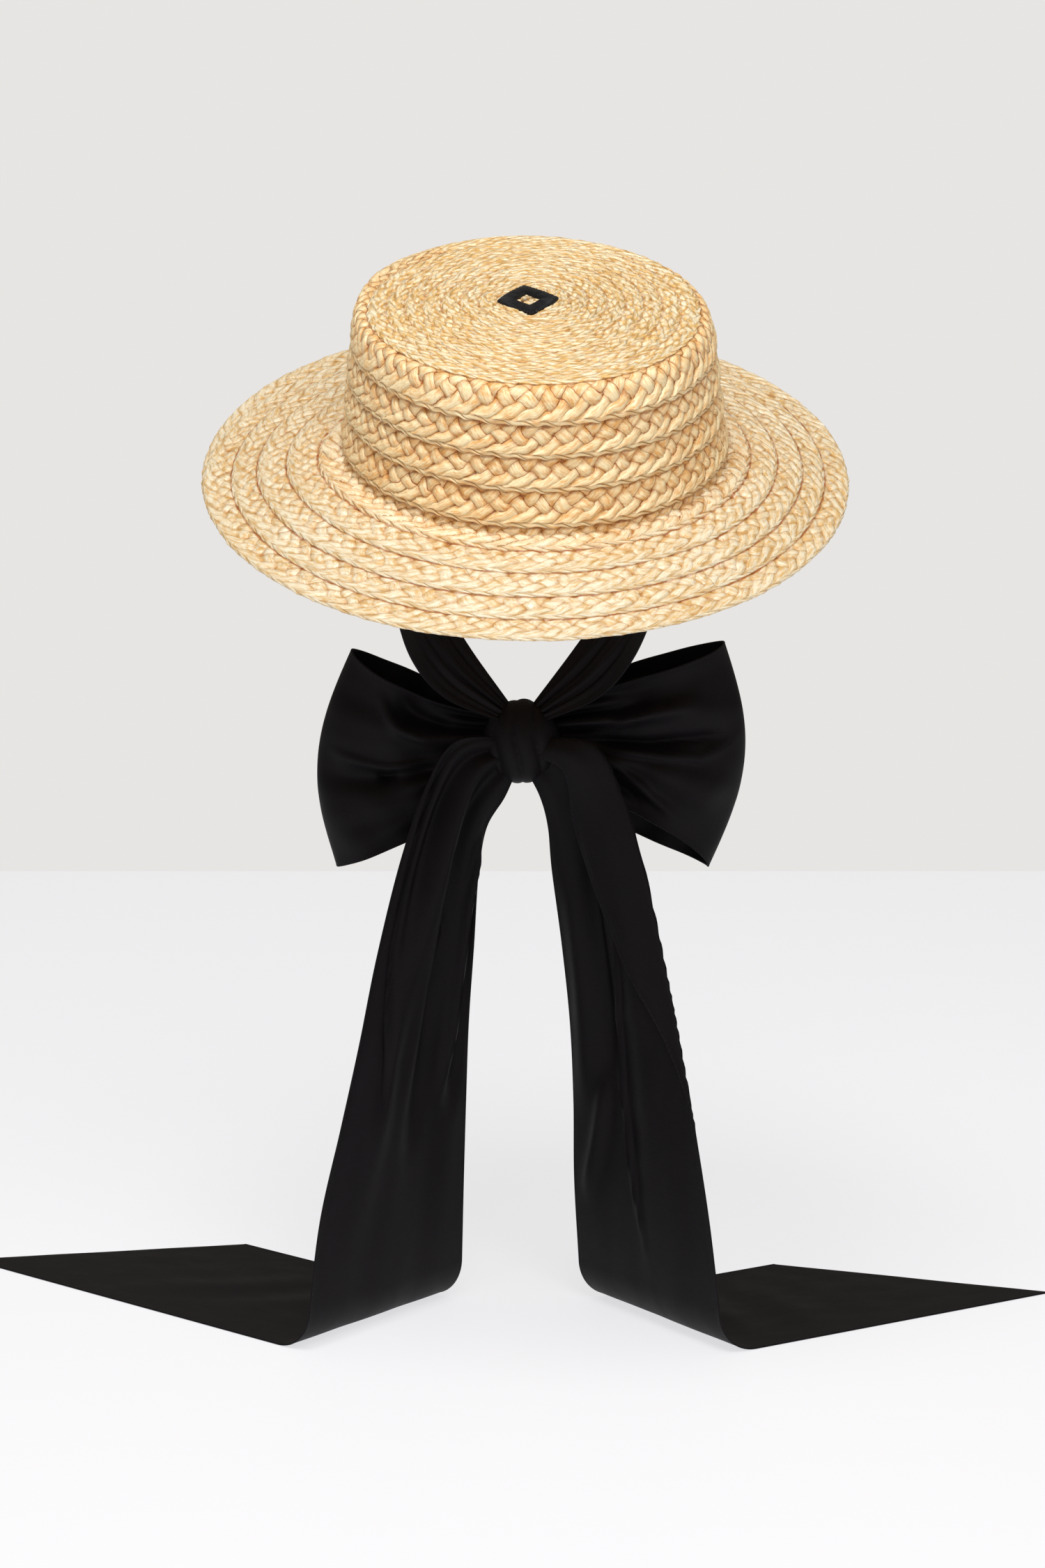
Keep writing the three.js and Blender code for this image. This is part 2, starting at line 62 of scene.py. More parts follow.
# Where the rounds of the braid end, as shares of the way from the middle of the top to its rim,
# down the side and out over the brim. One round bends over the rim and one bends into the brim.
RIM_ROUND, BASE_ROUND = 9.22, 13.27
TOP_EDGES = ([0, 9, RIM_ROUND], [0, 0.955, 1])
SIDE_EDGES = ([RIM_ROUND, 10, 11, 12, 13, BASE_ROUND], [0, 0.235, 0.455, 0.68, 0.925, 1])
BRIM_EDGES = ([BASE_ROUND, 14, 15, 16, 17, 18], [0, 0.21, 0.42, 0.62, 0.795, 1])

# Sizes of the braid
PITCH = 9.5  # from one strand to the next along the braid
CORD_RADIUS = 1.0  # height of the twisted cord along the outer edge
CORD_SLOPE = 4.0  # how far a strand of the cord runs along for each unit across
STRAND_RISE = 1.0  # height of a strand's middle over its edges
WEAVE_RISE = 0.6  # how far a strand rises over and dips under the strands that it crosses
EDGE_BEND = 10.0  # how far a strand is carried along the braid as it turns into the cord
BEND_DEPTH = 4.0  # how far in from the edge that bend fades
TUCK = 2.6  # width of braid hidden under the neighbouring round
PADDING = 0.14  # how much fuller the braid is in its middle
BRAID_THICKNESS = 0.55  # under its face
CORD_UNDERSIDE = 0.75  # how far the cord's round section reaches down
UNDERSIDE_RELIEF = 0.35  # the share of the relief that the underside has
BRAID_STEP = 0.85  # from one section of the braid's mesh to the next
EDGE_COLUMNS = np.array([0, 0.12, 0.4, 0.8, 1.2, 1.6, 2.0, 2.4, 2.7])  # in from the outer edge
INNER_COLUMNS = 14  # the columns from there to the tucked edge
UNDER_COLUMNS = [0, 4, 8, 11, 14, 17, 20, 22]  # the columns that the plainer underside keeps
SHIFT_SHARE = 0.2  # the share of a turn, at the back, in which the spiral moves out by one round
SPIRAL_START = radians(118)  # angle where each turn starts, at the back
ROUNDS = TOP_ROWS + SIDE_ROWS + BRIM_ROWS

# How the braid changes from the middle of the top outwards, at these rounds
ZONES = [0, 8, 9, 10, 13, 14, 15]
RELIEF = [0.5, 0.5, 0.4, 1.2, 1.2, 1.0, 0.5]  # how strongly the strands stand out
ROUND_LIFT = [0.4, 0.5, 1.3, 1.5, 1.5, 1.1, 0.9]  # an outer edge over the round under it
CORD_TOP, CORD_SIDE, CORD_BRIM = 1.3, 2.4, 1.2  # width of the twisted cord along the outer edge
CORD = [CORD_TOP, CORD_TOP, CORD_TOP, CORD_SIDE, CORD_SIDE, CORD_BRIM, CORD_BRIM]
CORD_SHARE = [0.45, 0.5, 0.6, 1.0, 1.0, 0.8, 0.55]  # the share of its full height that the cord has
EDGE_RIPPLE = [0.3, 0.3, 0.2, 0.4, 0.4, 0.2, 0.1]  # how far each strand bulges at the outer edge
SLANT = [2.4, 1.9, 1.7, 1.0, 1.0, 1.1, 1.2]  # how far a strand runs along for each unit across
WANDER = [2.2, 2.0, 1.8, 1.0, 1.0, 1.4, 1.8]  # how much the strands stray from an even weave
UNEVEN_TOP, UNEVEN_SIDE, UNEVEN_BRIM = 1.8, 1.0, 1.8  # how much their heights differ
UNEVEN = [UNEVEN_TOP] * 3 + [UNEVEN_SIDE] * 2 + [UNEVEN_BRIM] * 2

# Sizes of the ribbon
RIBBON_WIDTH = 118
CLOTH = 0.7  # thickness
HEM = 3.0  # width of each hem
HEM_SWELL = 0.35  # how much thicker the cloth is along its hems
FLOOR = -437  # height of the surface that the tails reach and lie on
KNOT = {"x": -6, "y": 76, "z": -147, "width": 34, "depth": 30, "height": 42}

# The camera, as worked out from the photograph
CAMERA_PLACE = (-0.0055, -1.7458, 0.0989)  # metres
CAMERA_LENS = 86.4  # on a sensor 36 mm wide
CAMERA_DOWN = radians(8.34)  # how far it looks down

# Colours, as display values from 0 to 255
# Besides the straw's own tones, gold also serves as painted shade on the strands' lower sides and beside
# the round that lies over them, and deep straw serves as painted shade in the gaps, dives and hollows.
TOP_COLOURS = [(255, 243, 210), (234, 190, 116), (184, 108, 30)]  # pale, gold and deep straw
# The side's set, and less so the bent round's, is deeper and more orange than the top's. This is partly
# painted shade and warm bounce light, as these faces get less light from above.
SIDE_COLOURS = [(255, 235, 188), (234, 175, 98), (164, 84, 14)]
BEND_COLOURS = [(252, 238, 204), (228, 178, 106), (166, 90, 22)]
BRIM_COLOURS = [(238, 228, 201), (215, 176, 113), (178, 112, 40)]
# Painted shadow: the thin brown line, one colour for each zone, along the edge of the round that lies over
# the next.
TOP_EDGE_SHADOW, SIDE_EDGE_SHADOW, BRIM_EDGE_SHADOW = (172, 102, 32), (140, 76, 22), (156, 86, 24)
RIBBON_BLACK, RIBBON_WORN = (11, 9, 12), (22, 19, 22)
HEM_STITCH = (38, 37, 42)
# Painted shade: the second thread colour darkens the grooves between the threads.
THREAD_BLACK, THREAD_GROOVE_SHADE = (26, 27, 33), (9, 9, 12)
FLOOR_SHEET = (150, 149, 150)
FLOOR_GLOW = (215, 215, 218)
WALL_GREY = (231, 229, 227)
SKY_GREY = (147, 142, 134)


# Numbers and noise

def linear(colour):
    """A display colour as the linear colour that a shader takes."""
    c = np.asarray(colour, float) / 255
    return tuple(np.where(c <= 0.04045, c / 12.92, ((c + 0.055) / 1.055) ** 2.4)) + (1.0,)


def mix(a, b, t):
    """The value t of the way from a to b."""
    return a + (b - a) * t


def smooth(low, high, x):
    """0 below low, 1 above high, and a smooth step between them."""
    t = np.clip((x - low) / (high - low), 0, 1)
    return t * t * (3 - 2 * t)


def wobble(x, seed, lengths):
    """A smooth random curve from -1 to 1: the mean of sines of the given wavelengths."""
    rng = np.random.default_rng(seed)
    phases = rng.uniform(0, TURN, len(lengths))
    return sum(np.sin(TURN * x / n + p) for n, p in zip(lengths, phases)) / len(lengths)


def unit(v):
    """Vectors made one unit long."""
    return v / np.maximum(np.linalg.norm(v, axis=-1, keepdims=True), 1e-9)


def through(rows, t):
    """Rows of a table as a smooth curve at t from 0 to 1: cubic spans whose slope at a row is half
    the step between its neighbours, and at the ends the step to the next row."""
    p = np.asarray(rows, float)
    slope = np.empty_like(p)
    slope[1:-1] = (p[2:] - p[:-2]) / 2
    slope[0], slope[-1] = p[1] - p[0], p[-1] - p[-2]
    x = np.clip(np.asarray(t, float), 0, 1) * (len(p) - 1)
    i = np.minimum(x.astype(int), len(p) - 2)
    f = (x - i)[..., None]
    a, b, m, n = p[i], p[i + 1], slope[i], slope[i + 1]
    return a + m * f + (3 * (b - a) - 2 * m - n) * f**2 + (m + n - 2 * (b - a)) * f**3


def surface_normals(grid):
    """Unit normals of a grid of points: the step along crossed with the step across."""
    return unit(np.cross(np.gradient(grid, axis=0), np.gradient(grid, axis=1)))


# Meshes

def ring_faces(rings, around, joined=False):
    """Four-sided faces between neighbouring rings of points, which are numbered ring after ring.
    Joined rings also have faces from the last ring to the first."""
    i, j = np.meshgrid(np.arange(rings if joined else rings - 1), np.arange(around), indexing="ij")
    m, k = (i + 1) % rings, (j + 1) % around
    return np.stack([i * around + j, i * around + k, m * around + k, m * around + j], -1).reshape(-1, 4)


def add_attribute(mesh, name, vectors):
    """Keeps three numbers for each point of a mesh, for its material to read."""
    layer = mesh.attributes.new(name, "FLOAT_VECTOR", "POINT")
    layer.data.foreach_set("vector", vectors.astype(np.float32).ravel())


def ring_mesh(name, points, attribute, vectors, joined=False):
    """A closed smooth body from a grid of points, a ring in each row. Points that lie together,
    such as a pole's, are merged, and the faces are turned outwards."""
    faces = ring_faces(*points.shape[:2], joined)
    mesh = bpy.data.meshes.new(name)
    mesh.from_pydata((points.reshape(-1, 3) * MM).tolist(), [], faces.tolist())
    add_attribute(mesh, attribute, vectors)
    work = bmesh.new()
    work.from_mesh(mesh)
    bmesh.ops.remove_doubles(work, verts=work.verts, dist=1e-6)
    bmesh.ops.recalc_face_normals(work, faces=work.faces)
    work.to_mesh(mesh)
    work.free()
    mesh.shade_smooth()
    return mesh


def band_mesh(name, top, bottom, attributes):
    """A closed body between two grids of points with the same sections, top over bottom. Its
    sections are rings, over the top and back under the bottom, and a face closes each end."""
    steps, across = top.shape[:2]
    around = across + bottom.shape[1]
    ring = np.concatenate([top, bottom[:, ::-1]], axis=1)
    quads = ring_faces(steps, around)
    first = np.arange(around)
    corners = np.concatenate([quads.ravel(), first[::-1], first + (steps - 1) * around])
    starts = np.concatenate([np.arange(0, quads.size, 4), quads.size + np.array([0, around])])
    mesh = bpy.data.meshes.new(name)
    mesh.vertices.add(steps * around)
    mesh.vertices.foreach_set("co", (ring * MM).ravel())
    mesh.loops.add(len(corners))
    mesh.loops.foreach_set("vertex_index", corners.astype(np.int32))
    mesh.polygons.add(len(starts))
    mesh.polygons.foreach_set("loop_start", starts.astype(np.int32))
    mesh.polygons.foreach_set("use_smooth", np.ones(len(starts), bool))
    for key, (above, below) in attributes.items():
        add_attribute(mesh, key, np.concatenate([above, below[:, ::-1]], axis=1))
    mesh.update(calc_edges=True)
    mesh.validate()
    return mesh


def piece(name, mesh, material, node):
    """A finished piece: it rides on the part, takes a finish and stands for a node."""
    obj = bpy.data.objects.new(name, mesh)
    bpy.context.scene.collection.objects.link(obj)
    mesh.materials.append(material)
    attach(obj, "root")
    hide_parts(node)
    return obj


# The form of the straw

def hat_to_world(p):
    """Turns points of the upright hat about its own axis and then tips its front down."""
    x, y, z = np.moveaxis(p, -1, 0)
    x, y = x * cos(HAT_TURN) - y * sin(HAT_TURN), x * sin(HAT_TURN) + y * cos(HAT_TURN)
    y, z = y * cos(HAT_TILT) - z * sin(HAT_TILT), y * sin(HAT_TILT) + z * cos(HAT_TILT)
    return np.stack([x, y, z], -1)


def top_point(k, angle):
    """A point of the crown's top: k times the rim's oval, on a dome that falls with k squared."""
    z = CROWN["height"] + CROWN_DOME * (1 - k * k)
    return np.stack([
        CROWN_LEAN + k * CROWN["top_width"] / 2 * np.cos(angle),
        k * CROWN["top_length"] / 2 * np.sin(angle),
        z + 0 * angle,
    ], -1)


def side_point(drop, angle):
    """A point of the crown's side: an oval that grows evenly from the rim, drop 0, to the base."""
    a = mix(CROWN["top_width"], CROWN["base_width"], drop) / 2
    b = mix(CROWN["top_length"], CROWN["base_length"], drop) / 2
    return np.stack([
        CROWN_LEAN * (1 - drop) + a * np.cos(angle),
        b * np.sin(angle),
        CROWN["height"] * (1 - drop) + 0 * angle,
    ], -1)


def brim_point(out, angle):
    """A point of the brim: out times its width square to the crown's base, sinking by the droop."""
    a, b = CROWN["base_width"] / 2, CROWN["base_length"] / 2
    away = unit(np.stack([np.cos(angle) / a, np.sin(angle) / b], -1))
    middle = (BRIM_WIDTH["left"] + BRIM_WIDTH["right"]) / 2
    width = middle - (BRIM_WIDTH["left"] - BRIM_WIDTH["right"]) / 2 * np.cos(angle)
    droop = mix(BRIM_DROOP["back"], BRIM_DROOP["front"], (1 - np.sin(angle)) / 2)
    reach = out * width
    fall = reach * np.sin(droop) * np.minimum(1, DROOP_START + out)
    return np.stack([
        a * np.cos(angle) + away[..., 0] * reach * np.cos(droop),
        b * np.sin(angle) + away[..., 1] * reach * np.cos(droop),
        -fall,
    ], -1)


def sharp_point(q, angle):
    """A point of the hat by rounds q from the middle of the top: top, then side, then brim."""
    top = top_point(np.interp(q, *TOP_EDGES), angle)
    side = side_point(np.interp(q, *SIDE_EDGES), angle)
    brim = brim_point(np.interp(q, *BRIM_EDGES), angle)
    on_top, on_side = (q < RIM_ROUND)[..., None], (q < BASE_ROUND)[..., None]
    return np.where(on_top, top, np.where(on_side, side, brim))


def hat_point(q, angle):
    """The mean of five points close together across the rounds, which rounds the corners."""
    offsets = np.array([-0.16, -0.08, 0, 0.08, 0.16])
    return sum(sharp_point(np.clip(q + d, 0, ROUNDS), angle) for d in offsets) / len(offsets)


def hat_surface(q, angle):
    """Points of the hat's middle surface and the unit normals that point out of it."""
    d = 0.02
    qc = np.clip(q, 2 * d, ROUNDS - 2 * d)
    along = hat_point(q, angle + d) - hat_point(q, angle - d)
    farther = hat_point(qc + 0.3, angle + d) - hat_point(qc + 0.3, angle - d)
    along = np.where(q[..., None] < 0.3, farther, along)
    out = hat_point(qc + d, angle) - hat_point(qc - d, angle)
    return hat_point(q, angle), unit(np.cross(out, along))


# The braid

def by_round(values, q):
    """A size that changes over the hat, at q rounds from the middle of the top."""
    return np.interp(q, ZONES, values)


def strand_profile(x):
    """A strand's height across its width, x from -1 to 1: flat in the middle, steep at its edges."""
    return np.maximum(1 - np.minimum(np.abs(x), 1) ** 2.6, 0) ** 0.75


def sway(index, rate):
    """A number from -1 to 1 for each strand, which jumps about as the strands are counted."""
    return np.sin(index * rate)


def weave_coordinates(s, w, slant, wander):
    """Numbers of the strands at s along and w in from the braid's edge. Strands a lean one way and
    b the other, PITCH apart. Near the edge the strands a bend round until they run along it."""
    stray_a = 1.2 * wobble(s + 1.3 * w, 3, [19, 31, 47]) + 0.5 * wobble(s - 2 * w, 4, [9, 13])
    stray_b = 1.2 * wobble(s - 1.3 * w, 5, [17, 29, 43]) + 0.5 * wobble(s + 2 * w, 6, [8, 14])
    along_a, along_b = s + wander * stray_a, s + wander * stray_b
    bend = EDGE_BEND * np.exp(-np.maximum(w, 0) / BEND_DEPTH)
    return (along_a - slant * w + bend) / PITCH, (along_b + slant * w) / PITCH


def strand_height(own, other, sign, unevenness):
    """Height of one family of strands where the families have the numbers own and other. In the
    plain weave it rises over and dips under the other family as a cosine, and stays over by the
    edge. Strands differ a little in place, height and tilt."""
    index = np.round(own)
    x = 2 * (own - index) - 0.2 * sway(index, 2.4 + 0.3 * sign)
    crossed = np.maximum((other - index) * sign, 1.0)
    path = -sign * np.cos(pi * crossed)
    uneven = 0.12 * sway(index, 4.1) + 0.16 * sway(index, 5.3) * np.clip(x, -1, 1)
    return STRAND_RISE * strand_profile(x) + WEAVE_RISE * path + unevenness * uneven


def braid_relief(s, w, a, b, cord_width, cord_share, unevenness):
    """Height of the braid's face: the higher of its two families of strands, and at the edge a
    half round cord of twisted strands."""
    weave = np.maximum(strand_height(a, b, 1, unevenness), strand_height(b, a, -1, unevenness))
    c = (s + CORD_SLOPE * w) / PITCH
    twist = 0.42 * strand_profile(2 * (c - np.round(c)))
    x = 2 * w / cord_width - 1
    cord = CORD_RADIUS * np.sqrt(np.maximum(1 - x * x, 0)) * 0.8 + twist * (np.abs(x) < 1)
    edge = np.maximum(cord * cord_share, weave * smooth(0.25 * cord_width, cord_width, w))
    return np.where(w < cord_width, edge, weave)


def spiral(step):
    """The braid's turns from the middle out, one entry for each step of its length. In the first
    share of a turn the braid moves out by one round, and then it keeps to its round."""
    fine = np.linspace(0.3, ROUNDS + SHIFT_SHARE, 60000)
    q = nominal_round(fine)
    edge = hat_point(np.minimum(q, ROUNDS), SPIRAL_START + TURN * fine)
    length = np.concatenate([[0], np.cumsum(np.linalg.norm(np.diff(edge, axis=0), axis=1))])
    count = int(length[-1] / step)
    s = np.linspace(0, length[-1], count)
    return s, np.interp(s, length, fine)


def nominal_round(turns):
    """The round that the outer edge is on: whole turns, with a smooth step at each turn's start."""
    whole = np.floor(turns)
    return whole + smooth(0, SHIFT_SHARE, turns - whole)


def row_width(q_edge, angle):
    """Width in millimetres of the round that ends at q_edge."""
    inner = hat_point(np.maximum(q_edge - 1, 0), angle)
    return np.linalg.norm(hat_point(q_edge, angle) - inner, axis=-1)


def braid(name, s, turns, node, material):
    """A stretch of the braid as a closed band. Across it w runs from the outer edge in and under
    the next round; the shingle's lift falls from the edge to the tucked side."""
    angle = SPIRAL_START + TURN * turns
    q_nominal = nominal_round(turns)
    cord_width, cord_share, rippling, slant, wander, unevenness, edge_lift = (
        by_round(values, q_nominal)[:, None]
        for values in (CORD, CORD_SHARE, EDGE_RIPPLE, SLANT, WANDER, UNEVEN, ROUND_LIFT)
    )
    ripple = rippling[:, 0] * np.sin(TURN * s / PITCH + wobble(s, 22, [41, 67]))
    ripple += 0.4 * wobble(s, 21, [5.3, 14, 31, 57, 90])
    q_edge = np.minimum(q_nominal, ROUNDS)
    width = row_width(q_edge, angle)
    tucked_edge = width[:, None] + TUCK
    inner = np.linspace(0, 1, INNER_COLUMNS + 1)[1:]
    w = np.concatenate([
        np.broadcast_to(EDGE_COLUMNS, (len(s), len(EDGE_COLUMNS))),
        EDGE_COLUMNS[-1] + inner * (tucked_edge - EDGE_COLUMNS[-1]),
    ], axis=1)
    q = q_edge[:, None] - (w - ripple[:, None]) / width[:, None]
    relief = by_round(RELIEF, q + 0.1)
    first = np.maximum(q, 0.02)
    point, normal = hat_surface(np.minimum(first, ROUNDS + 0.05), angle[:, None] + 0 * w)
    beyond = np.maximum(q - ROUNDS, 0)[..., None] * width[:, None, None]
    outward = unit(hat_point(np.full_like(q, ROUNDS - 0.05), angle[:, None] + 0 * w)
                   - hat_point(np.full_like(q, ROUNDS - 0.6), angle[:, None] + 0 * w))
    point = point + outward * beyond
    s_grid = s[:, None] + 0 * w
    a, b = weave_coordinates(s_grid, w, slant, wander)
    lift = edge_lift * (1 - (q_nominal[:, None] - q)) - 0.1
    face = braid_relief(s_grid, w, a, b, cord_width, cord_share, unevenness) * relief
    padding = PADDING * smooth(0, 0.5, w) * smooth(tucked_edge, tucked_edge - 0.8, w)
    top = point + normal * (lift + face + padding)[..., None]
    round_cord = -CORD_UNDERSIDE * np.sqrt(np.maximum(1 - (2 * w / cord_width - 1) ** 2, 0))
    behind = braid_relief(s_grid + PITCH, w, a + 1, b, cord_width, cord_share, unevenness)
    back = -BRAID_THICKNESS - UNDERSIDE_RELIEF * relief * behind * smooth(0.2, 1.5, w)
    bottom = point + normal * (lift + np.minimum(back, round_cord))[..., None]
    weave = np.stack([a, b, w], -1)
    run = np.stack([s_grid, w, width[:, None] - w], -1)
    under = UNDER_COLUMNS
    attributes = {"weave": (weave[:, under], weave), "run": (run[:, under], run)}
    mesh = band_mesh(name, hat_to_world(bottom[:, under]), hat_to_world(top), attributes)
    piece(name, mesh, material, node)


# Shading

class Socket:
    """A shader value that takes part in Python expressions, each of which adds a Math node."""

    def __init__(self, tree, socket):
        self.tree = tree
        self.socket = socket

    def math(self, operation, *others, clamp=False):
        node = self.tree.nodes.new("ShaderNodeMath")
        node.operation = operation
        node.use_clamp = clamp
        for place, value in zip(node.inputs, (self, *others)):
            feed(self.tree, place, value)
        return Socket(self.tree, node.outputs[0])

    def __add__(self, other):
        return self.math("ADD", other)

    def __mul__(self, other):
        return self.math("MULTIPLY", other)

    def __sub__(self, other):
        return self.math("SUBTRACT", other)

    def __rsub__(self, other):
        return (self * -1) + other

    def __abs__(self):
        return self.math("ABSOLUTE")

    def __pow__(self, other):
        return self.math("POWER", other)

    __radd__ = __add__
    __rmul__ = __mul__


def feed(tree, place, value):
    """Links a socket, or sets a plain value."""
    if isinstance(value, Socket):
        tree.links.new(value.socket, place)
    else:
        place.default_value = value


class Nodes:
    """A node tree. node() adds any node that isn't a Math node, and the rest name common ones."""

    def __init__(self, tree):
        self.tree = tree

    def node(self, kind, settings=None, values=None, out=0):
        node = self.tree.nodes.new("ShaderNode" + kind)
        for key, value in (settings or {}).items():
            setattr(node, key, value)
        for key, value in (values or {}).items():
            feed(self.tree, node.inputs[key], value)
        return Socket(self.tree, node.outputs[out])

    def split(self, attribute):
        """The three numbers of a piece's own attribute."""
        vector = self.node("Attribute", {"attribute_name": attribute}, out="Vector")
        return [self.node("SeparateXYZ", None, {0: vector}, out=k) for k in range(3)]

    def vector(self, x, y, z):
        """Three numbers as a vector."""
        return self.node("CombineXYZ", None, {0: x, 1: y, 2: z})

    def between(self, value, low, high):
        """A smooth step of the value, 0 at low and 1 at high."""
        settings = {"interpolation_type": "SMOOTHSTEP"}
        return self.node("MapRange", settings, {0: value, 1: low, 2: high, 3: 0.0, 4: 1.0})

    def blend(self, factor, first, second):
        """A colour between two colours."""
        settings = {"data_type": "RGBA", "clamp_factor": True}
        return self.node("Mix", settings, {0: factor, 6: first, 7: second}, out=2)

    def choose(self, factor, first, second):
        """A number between two numbers."""
        return self.node("Mix", {"clamp_factor": True}, {0: factor, 2: first, 3: second})

    def noise(self, vector, scale, detail=2.0, roughness=0.5):
        """Smooth noise from 0 to 1."""
        return self.node("TexNoise", None, {
            "Vector": vector, "Scale": scale, "Detail": detail, "Roughness": roughness,
        })

    def chance(self, vector):
        """A random number from 0 to 1 for each vector."""
        return self.node("TexWhiteNoise", None, {0: vector})

    def bump(self, height, distance, strength):
        """The normal bent by a height, where a height of 1 stands for the distance in metres."""
        return self.node("Bump", None, {"Height": height, "Distance": distance, "Strength": strength})


class Finish(Nodes):
    """A material with a Principled shader. Its constants are set here, and give() links what
    varies. Both name the shader's inputs with underscores."""

    def __init__(self, name, **constants):
        self.material = bpy.data.materials.new(name)
        self.material.use_nodes = True
        super().__init__(self.material.node_tree)
        self.shader = self.tree.nodes["Principled BSDF"]
        for key, value in constants.items():
            self.shader.inputs[key.replace("_", " ")].default_value = value

    def give(self, **links):
        """Links or sets inputs of the shader and returns the material."""
        for key, value in links.items():
            feed(self.tree, self.shader.inputs[key.replace("_", " ")], value)
        return self.material


def shader_profile(x):
    """The strand's profile, as in the mesh."""
    return (1 - x.math("MINIMUM", 1.0) ** 2.6) ** 0.75


def shader_sway(index, rate):
    """The jumping number of each strand, as in the mesh."""
    return (index * rate).math("SINE")


def shader_strand(own, other, sign, unevenness):
    """A strand's number, place across it, path over and under, and height, as in the mesh."""
    index = own.math("ROUND")
    x = (own - index) * 2 - shader_sway(index, 2.4 + 0.3 * sign) * 0.2
    crossed = ((other - index) * sign).math("MAXIMUM", 1.0)
    path = (crossed * pi).math("COSINE") * -sign
    uneven = shader_sway(index, 4.1) * 0.12 + shader_sway(index, 5.3) * x * 0.16
    height = shader_profile(abs(x)) * STRAND_RISE + path * WEAVE_RISE + uneven * unevenness
    return index, x, path, height


def straw_finish(name, colours, edge_shadow_colour, unevenness, cord_width,
                 gap_shading, dive_shading, edge_shadow_share, smudges, covered_shade, bump):
    """Raffia strands in a plain weave with a twisted edge. Each strand has fine grooves along it.
    Painted shade turns a strand gold at its lower sides, darker where it dives under the next and
    in its low places, and brown in the gaps; a painted shadow lines the edge of the round that lies
    over it, with gold painted shade beside that edge. Gold smudges run along the rounds."""
    pale, gold, deep_straw_and_shade = (linear(c) for c in colours)
    f = Finish(name, IOR=1.5, Specular_IOR_Level=0.7)
    place = f.node("TexCoord", out="Object")
    a, b, w = f.split("weave")
    s, _, visible = f.split("run")
    fray = f.noise(place, 420.0, 2.0) - 0.5
    a, b = a + fray * 0.14, b - fray * 0.14
    i, x_a, path_a, height_a = shader_strand(a, b, 1, unevenness)
    j, x_b, path_b, height_b = shader_strand(b, a, -1, unevenness)
    over = height_a.math("GREATER_THAN", height_b)
    c = (s + w * CORD_SLOPE) * (1 / PITCH) + fray * 0.1
    k = c.math("ROUND")
    in_cord = w.math("LESS_THAN", cord_width)

    x = f.choose(in_cord, f.choose(over, x_b, x_a), (c - k) * 2)
    path = f.choose(in_cord, f.choose(over, path_b, path_a), 1.0)
    strand = f.choose(in_cord, f.choose(over, j + 0.37, i), k + 0.71)
    lengthways = f.choose(in_cord, f.choose(over, a, b), s * (1 / PITCH))
    height = f.choose(in_cord, height_a.math("MAXIMUM", height_b), shader_profile(abs(x)) * 0.9 + 0.5)

    grain_place = f.vector(x * 4.6, lengthways * 1.1, strand * 3.1)
    grain = f.noise(grain_place, 1.0, 3.0, 0.62)
    fine = f.noise(grain_place, 2.2, 2.0, 0.6)
    patch = f.noise(place, 34.0, 2.0)
    uneven = f.between(f.noise(place, 150.0, 1.0), 0.38, 0.62)
    apart = f.choose(in_cord, abs(height_a - height_b), (1 - abs(x)) * 2.4)
    # Painted shade, in deep straw: in the gaps where two strands meet, where a strand dives under the
    # next, in low places and along the cord's inner edge.
    gap_shade = f.between(apart, 0.3, 0.04) * f.choose(uneven, 0.3, 1.0)
    dive_shade = f.between(path, 0.7, -0.2) * f.choose(uneven, 1.0, 0.4)
    hollow_shade = f.between(height, 0.7, 0.1)
    # Painted shadow: a thin line along the edge of the round that lies over this one.
    edge_shadow = f.between(visible, 1.2, 0.3) * f.between(visible, -0.9, -0.2) * f.choose(uneven, 1.0, 0.6)
    cord_edge_shade = f.between(abs(w - cord_width), 0.35, 0.0)

    tint = f.chance(f.vector(strand, 0.0, 0.0))
    # Painted shade: gold on the lower sides of each strand.
    side = f.between(height, 1.45, 0.5)
    smear = f.noise(f.vector(x * 1.6, lengthways * 1.5, strand * 5.7), 1.0, 2.0)
    gold_tone_and_shade = side * 0.4 + tint * 0.25 + patch * 0.5 + f.between(smear, 0.42, 0.66) * 0.45
    streaks = f.noise(f.vector(s * 0.16, w * 0.5, 0.0), 1.0, 2.5)
    gold_tone_and_shade = gold_tone_and_shade + f.between(grain, 0.45, 0.7) * 0.6 + f.between(streaks, 0.46, 0.6) * smudges - 0.4
    # Painted shade: gold on the part of the round next to the round that lies over it.
    gold_tone_and_shade = gold_tone_and_shade + f.between(visible, 5.5, 0.5) * covered_shade
    colour = f.blend(gold_tone_and_shade.math("MAXIMUM", 0.0, clamp=True), pale, gold)
    colour = f.blend(f.between(fine, 0.55, 0.75) * 0.35, colour, deep_straw_and_shade)
    colour = f.blend(f.between(streaks, 0.59, 0.72) * smudges * 0.6, colour, deep_straw_and_shade)
    # The painted shade goes on in deep straw, and the painted shadow line goes on in its own brown.
    shade = gap_shade * gap_shading + (dive_shade * 0.5 + hollow_shade * 0.5) * dive_shading + cord_edge_shade * gap_shading * 0.3
    colour = f.blend(shade.math("MINIMUM", 1.0), colour, deep_straw_and_shade)
    colour = f.blend(edge_shadow * edge_shadow_share, colour, linear(edge_shadow_colour))

    relief = height * 0.9 + grain * 0.4 + fine * 0.2
    return f.give(
        Base_Color=colour,
        Roughness=grain * 0.3 + 0.26,
        Normal=f.bump(relief, 0.001, bump),
    )


